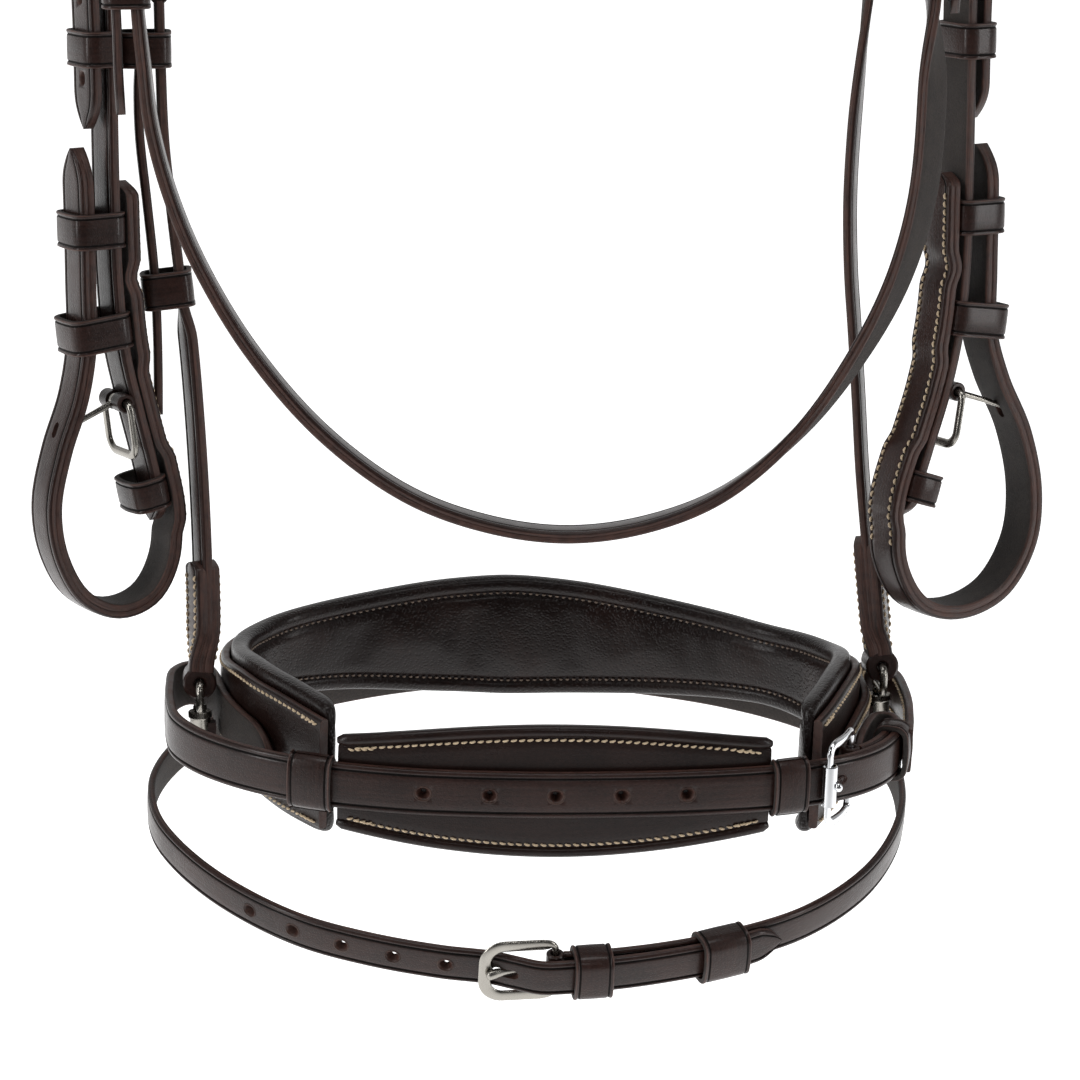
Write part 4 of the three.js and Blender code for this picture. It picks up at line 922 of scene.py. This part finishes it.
def pad_part(route, a, b, low, high, width, roll=6.0, sew=2.2, step=4.0, across=4.0, end_round=3.0):
    """A pad's starting shape, flat on its high side, with a sewn channel inside each rolled edge, and what is held."""
    count = int((b - a) / step)
    rings, held = [], []
    stations = np.linspace(a, b, count + 1)
    for i, mm in enumerate(stations):
        place, half = route.at(mm), value(width, mm) / 2
        end = min(mm - a, b - mm)
        shrink = 1 - 0.10 * (1 - smooth(end, 0, end_round * 2))
        lo = low + (high - low) * 0.55 * (1 - smooth(end, -1, end_round * 2.2))
        inner = half - roll
        pts = [(high, half - 2.2, 1), (high - 0.5, half - 0.7, 1), ((high + lo) / 2, half - 0.2, 0),
               (lo + 1.4, half - 0.9, 0), (lo + 0.5, half - roll * 0.5, 0), (lo + 1.0, inner + 1.0, 0),
               (lo + sew, inner, 1), (lo + 1.2, inner - 1.2, 0)]
        n = max(3, int(round(2 * (max(value(width, m) for m in stations) / 2 - roll - 3) / across)))
        pts += [(lo + 0.6, (inner - 3.2) * x, 0) for x in np.linspace(1, -1, n)]
        pts += [(q, -w, h) for q, w, h in reversed(pts[:8])]
        pts += [(high, (half - 4) * x, 1) for x in np.linspace(-1, 1, 7)]
        rings.append([place.at(q, w * shrink) for q, w, h in pts])
        held += [len(rings[0]) * i + j for j, (q, w, h) in enumerate(pts) if h or i in (0, count)]
    rings = np.array(rings)
    return skin(rings, stations, around(rings[len(rings) // 2]), [0] * len(pts)), held


def puff(obj, held, pressure, cap):
    """Blows the pad up between its seams by a cloth simulation, then keeps the result."""
    me = obj.data
    co = np.zeros(len(me.vertices) * 3)
    me.vertices.foreach_get("co", co)
    start = co.reshape(-1, 3).copy()
    group = obj.vertex_groups.new(name="sewn")
    group.add([int(i) for i in held], 1.0, "REPLACE")
    mod = obj.modifiers.new("cloth", "CLOTH")
    s = mod.settings
    s.quality, s.mass = 6, 0.25
    s.use_pressure, s.uniform_pressure_force = True, pressure
    s.vertex_group_mass = "sewn"
    s.tension_stiffness = s.compression_stiffness = s.shear_stiffness = 18
    s.bending_stiffness = 0.4
    s.effector_weights.gravity = 0
    mod.collision_settings.use_collision = False
    mod.point_cache.frame_start, mod.point_cache.frame_end = 1, 20
    for f in range(1, 21):
        scene.frame_set(f)
    shape = obj.evaluated_get(bpy.context.evaluated_depsgraph_get()).data
    shape.vertices.foreach_get("co", co)
    moved = co.reshape(-1, 3).copy() - start
    far = np.linalg.norm(moved, axis=1, keepdims=True)
    moved *= np.minimum(1, cap * MM / np.maximum(far, 1e-9))
    obj.modifiers.clear()
    obj.vertex_groups.clear()
    scene.frame_set(1)
    me.vertices.foreach_set("co", (start + moved).ravel())
    me.update()
    sub = obj.modifiers.new("smooth", "SUBSURF")
    sub.levels = sub.render_levels = 2
    apply_modifiers(obj)
    finish_mesh(obj, 60)
    return obj


def pad(name, body, route, a, b, low, high, width, pressure=4.0, cap=2.4, **opts):
    part, held = pad_part(route, a, b, low, high, width, **opts)
    obj = build(name + "_padding", [part], [SOFT], body, "pad_leather", [name])
    puff(obj, held, pressure, cap)
    return obj


def noseband():
    roll = 6.2
    pad("nose_pad", "noseband", NOSE, 0, NOSE.length, -7.8, -0.3, nose_width, roll=roll, sew=2.6)
    leather_piece("noseband_leather", [strap(NOSE, 0, NOSE.length, 0.15, 3.2, lambda mm: nose_width(mm) - 9,
                                             sec=PLAIN, step=2.5)], "noseband", FACING)
    end = NOSE.length
    seam("nose_pad_stitching", lambda s: stitches(
        NOSE, 6, end - 6, lambda mm: s * (nose_width(mm) / 2 - roll), -7.8 + 1.8, pitch=2.5, length=1.1,
        radius=0.38, slant=0, out=-1), "noseband", DIM_THREAD, "pad_leather")
    seam("noseband_stitching", lambda s: sewn_edge(NOSE, 3, end - 3, 3.5, nose_width, 6.3, 3.15, s), "noseband")


CRANK = Route([on_nose(*p) for p in (
    (-91.5, -35.6), (-99.8, -18.2), (-106.2, 1.4), (-109.2, 20), (-112, 28), (-118.2, 31), (-123.6, 25), (-125.2, 12),
    (-125.2, -4), (-123.4, -18), (-117, -30.5), (-107, -41.5), (-93, -51.8), (-75, -60.5), (-50, -67.3), (-25, -70.5),
    (2, -71.8), (28, -71.4), (52, -69.8), (75, -66.4), (90, -62), (104, -55.4), (114.4, -47), (121.4, -36.5),
    (124.4, -26.5), (122.6, -19), (118.2, -18.4), (114.6, -24), (111, -33), (107.4, -42))], -RING_NORMAL)
TAB = Route([on_nose(*p) for p in (
    (102.2, -43.4), (110.4, -21.2), (117.2, 1), (117.8, 21.6), (121, 29.4), (127, 29), (131, 21), (131.8, 7),
    (131, -7), (129.6, -17), (128.2, -26), (126.5, -34))], -RING_NORMAL)


def crank():
    half = THIN / 2
    low = -half - GAP - THIN
    pivot_mm = CRANK.nearest(vec(*on_nose(107, -53.6)))
    a, b = CRANK.at(pivot_mm), CRANK.at(pivot_mm - 15.5)
    roller = 2.5
    pivot, front = a.at(-half - GAP - BAR / 2 - 2), b.at(half + 0.4 + roller)
    span = float(np.linalg.norm(front - pivot))
    place = buckle_place(pivot, front - pivot, a.n)
    buckle("crank_buckle", place, "noseband", "crank_buckle_tongue", CRANK_WIDTH, span=span, reach=span + 1,
           lift=roller + GAP + 1, room=4.2, rim=3.7, mat=CHROME, slot="chrome", bent=0.8, ball=True, nose=3.4,
           dip=1.5, thick=1.2)
    at_front = Place(front, place.n, place.w, place.t)
    tube_profile = [(1.8, -7.4), (1.8, 7.4), (2.15, 7.4), (roller, 7.05), (roller, -7.05), (2.15, -7.4)]
    turned_tube = lathe(at_front, tube_profile, 32, "w")
    build("crank_roller_metal", [turned_tube], [CHROME], "crank_roller", "chrome", ["crank_roller"])

    middle = CRANK.nearest(vec(*on_nose(2, -71.8)))
    body = strap(CRANK, 0, CRANK.length, -half, half, CRANK_WIDTH, tip0=16, tip1=10, sec=section(1.9))
    piece = leather_piece("crank_strap", [body], "noseband")
    holes = [middle + 22 * i for i in (-2, -1, 0, 1, 2)]
    slot = slot_tool(place, -8, 14, 3.6, span * 0.5, span - BAR / 2 - 0.6)
    punch(piece, [hole_tool(CRANK, mm, -half, half) for mm in holes] + [slot])
    hole_rims("crank_hole_lips", CRANK, holes, half, "noseband")

    loop_mm = CRANK.nearest(vec(*on_nose(122.6, -33.4)))
    chape = strap(CRANK, pivot_mm + 2.9, loop_mm + 4, low, -half - GAP, CRANK_WIDTH, sec=PLAIN)
    leather_piece("crank_chape", [chape, *leather_eye(place, CRANK_WIDTH)], "noseband")
    tab = strap(TAB, 0, TAB.length, -half, half, CRANK_WIDTH, tip0=14)
    hw = CRANK_WIDTH / 2 + GAP
    ring = band(CRANK.at(loop_mm), low - 0.7 - GAP, half + 0.7 + GAP, -hw, hw, 8)
    leather_piece("crank_end_tab", [tab, ring], "noseband")
    seam("crank_tab_stitching", lambda s: stitches(
        TAB, 12, TAB.length - 6, s * (CRANK_WIDTH / 2 - 2.2), half, sign=s), "noseband")
    for name, xy, length in (("crank_keeper_left", (-78.5, -59.2), 15), ("crank_keeper_right", (81, -65), 12.5)):
        keeper(name, CRANK.at(CRANK.nearest(vec(*on_nose(*xy)))), -half, half, CRANK_WIDTH, length, "noseband")

    start, end = middle - 71, middle + 71

    def barrel(mm):
        return 34 + 13 * math.cos((mm - middle) / 71 * math.pi / 2)

    face = -half - GAP
    rolls = []
    for s in (-1, 1):
        stations = np.linspace(start - 3, end + 3, 70)
        full = [smooth(min(mm - start + 3, end + 3 - mm), -0.5, 2.5) for mm in stations]
        size = [2.1 * (0.35 + 0.65 * math.sqrt(float(share))) for share in full]
        line = [CRANK.at(mm).at(face - 1.4, s * (barrel(mm) / 2 - 1.9)) for mm in stations]
        rolls.append(tube(line, size, sides=16))
    front = strap(CRANK, start - 2.5, end + 2.5, face - 3, face - 0.1, lambda mm: barrel(mm) - 6.4, sec=PLAIN)
    leather_piece("chin_facing", [front, *rolls], "noseband", FACING)
    pad("chin_pad", "noseband", CRANK, start + 3, end - 3, face - 3 - GAP - 6.2, face - 3 - GAP,
        lambda mm: barrel(mm) - 2.4, roll=5.0, sew=1.8)
    seam("chin_stitching", lambda s: sewn_edge(CRANK, start + 3, end - 3, 2.5, barrel, 4.6, face - 0.05, s),
         "noseband")


# ---- Flash ----
def on_flash(x, y):
    return (x, y, -480 + 0.35 * y - 0.02 * x)


FLASH = Route([on_flash(*p) for p in (
    (1, -78.4), (10, -77.8), (23, -76.4), (41, -73), (58, -68.2), (87, -55.6), (111, -35), (126, -11), (132.6, 12),
    (131.6, 35), (120, 55), (100, 70), (76, 81), (50, 88.4), (26, 93.2), (0, 94.8), (-28, 92.2), (-55, 86),
    (-82, 75.6), (-106, 60), (-123, 42), (-131.5, 22), (-131, 2), (-124, -15), (-108, -36.5), (-84, -56.6),
    (-60, -67.6), (-36, -74.6), (-26, -76.4), (-20, -77.6), (-12, -80.6), (-4, -83.3), (5, -83.1), (14, -82),
    (28, -79.8), (44, -76.2), (60, -71.6), (79, -63.3))], -unit(vec(0.02, -0.35, 1)))


def flash():
    half, bar = 1.25, 2.2
    over = FLASH.length - 130
    start = FLASH.at(0)

    def near(x, y):
        return FLASH.nearest(vec(*on_flash(x, y)), over)

    front_at = FLASH.at(near(-20, -77.6) - 1)
    front = front_at.at(half + 0.4 + bar / 2)
    place = buckle_place(start.p, front - start.p, start.n)
    span = float(np.linalg.norm(front - start.p))
    buckle("flash_buckle", place, "flash", "flash_buckle_tongue", FLASH_WIDTH, span=span, bar=bar, room=1.5,
           rim=4.2, lift=bar / 2 + GAP + 1.1, nose=6.5, dip=2.0, thick=1.3, ball=True)
    body = strap(FLASH, 2.9, FLASH.length, -half, half, FLASH_WIDTH, tip1=11, sec=section(1.7))
    piece = leather_piece("flash_strap", [body], "flash")
    first = near(-36, -74.6) + 1
    holes = [first - 18 * i for i in range(5)]
    hole_rims("flash_hole_lips", FLASH, holes, half, "flash", r=1.6)
    punch(piece, [hole_tool(FLASH, mm, -half, half, r=1.6) for mm in holes]
          + [slot_tool(place, -6, 12, 3.4, span * 0.56, span - bar / 2 - 0.4)])
    build("flash_eye", leather_eye(place, FLASH_WIDTH, bar), [GRAIN], "flash")
    loops = (("flash_keeper", 12, 13, "flash"), ("flash_runner", 57, 17, "flash_runner"))
    for name, mm, length, body_name in loops:
        inner = FLASH.at(mm)
        outer = FLASH.at(near(inner.p[0] + 0.5, inner.p[1] - 4))
        apart = float(np.dot(outer.p - inner.p, inner.n)) + half + 0.7
        keeper(name, inner, -half - 0.5, apart, FLASH_WIDTH + 0.6, length, body_name)
    nose = FLASH.nearest(vec(*on_flash(0, 94.8)))
    keeper("flash_loop", FLASH.at(nose), -2.7, 2.6, FLASH_WIDTH + 1.6, 14, "noseband")


headpiece_buckles = headpiece()
throatlatch(headpiece_buckles)
browband()
sliphead(*left_hanger())
swivels()
noseband()
crank()
flash()
poll_route = Route(arch_points(104, -ARCH_Z - 0.5, CROWN_Y, -52, 52, 15), ACROSS)
pad("poll_pad", "headstall", poll_route, 0, poll_route.length, -10.6, -0.6, lambda mm: 58, roll=7, sew=2.0)

for o in list(scene.objects):
    if "body" in o:
        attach(o, o["body"])

# ---- Floor, light and camera ----
target = Vector((0.003, 0, -0.378))


def area(name, size, power, location):
    light = bpy.data.lights.new(name, "AREA")
    light.shape, light.size, light.size_y = "RECTANGLE", size[0], size[1]
    light.energy = power
    obj = bpy.data.objects.new(name, light)
    scene.collection.objects.link(obj)
    obj.location = location
    obj.rotation_euler = (target - Vector(location)).to_track_quat("-Z", "Y").to_euler()


def floor(half=12.0, z=-0.62):
    """A plain pale floor, bright under and behind the bridle and darker in front of it."""
    me = bpy.data.meshes.new("floor")
    corners = [(-half, -half, z), (half, -half, z), (half, half, z), (-half, half, z)]
    me.from_pydata(corners, [], [(0, 1, 2, 3)])

    def paper(g, s):
        along = g.new("SeparateXYZ", Vector=g.coord.outputs["Object"]).outputs["Y"]
        behind = g.ramp(along, -0.5, -0.15)
        pale = g.mix(g.noise(3, 2), (0.93, 0.93, 0.93), (0.96, 0.96, 0.955))
        g.fill(s, Base_Color=g.mix(behind, (0.32, 0.32, 0.32), pale), Roughness=0.9, Emission_Color=(1, 1, 1),
               Emission_Strength=g.math("MULTIPLY", behind, 0.97))

    me.materials.append(material("pale_floor", paper))
    obj = bpy.data.objects.new("floor", me)
    scene.collection.objects.link(obj)


floor()
world = bpy.data.worlds.new("studio")
world.use_nodes = True
sky = Nodes(world.node_tree)
toward = sky.new("SeparateXYZ", Vector=sky.coord.outputs["Generated"]).outputs["Y"]
sky.fill(world.node_tree.nodes["Background"], Color=(1, 1, 1), Strength=sky.ramp(toward, -0.1, 0.8, 0.06, 0.75))
scene.world = world
area("left_softbox", (0.25, 1.3), 9.5, (-1.3, -0.75, 0.1))
area("right_softbox", (0.2, 1.3), 7.2, (1.35, -0.7, 0.0))
area("top_softbox", (1.2, 0.4), 7.0, (0, -0.45, 1.15))
area("front_softbox", (0.3, 0.2), 1.5, (0.2, -1.7, 0.5))
scene.view_settings.view_transform = "Standard"

AZIMUTH, ELEVATION, DISTANCE, LENS = math.radians(-5), math.radians(12), 1.5, 145
level = math.cos(ELEVATION)
back = Vector((math.sin(AZIMUTH) * level, -math.cos(AZIMUTH) * level, math.sin(ELEVATION)))
cam = bpy.data.objects.new("camera", bpy.data.cameras.new("camera"))
scene.collection.objects.link(cam)
cam.data.lens, cam.data.sensor_width = LENS, 36
cam.location = target + back * DISTANCE
cam.rotation_euler = (-back).to_track_quat("-Z", "Y").to_euler()
scene.camera = cam
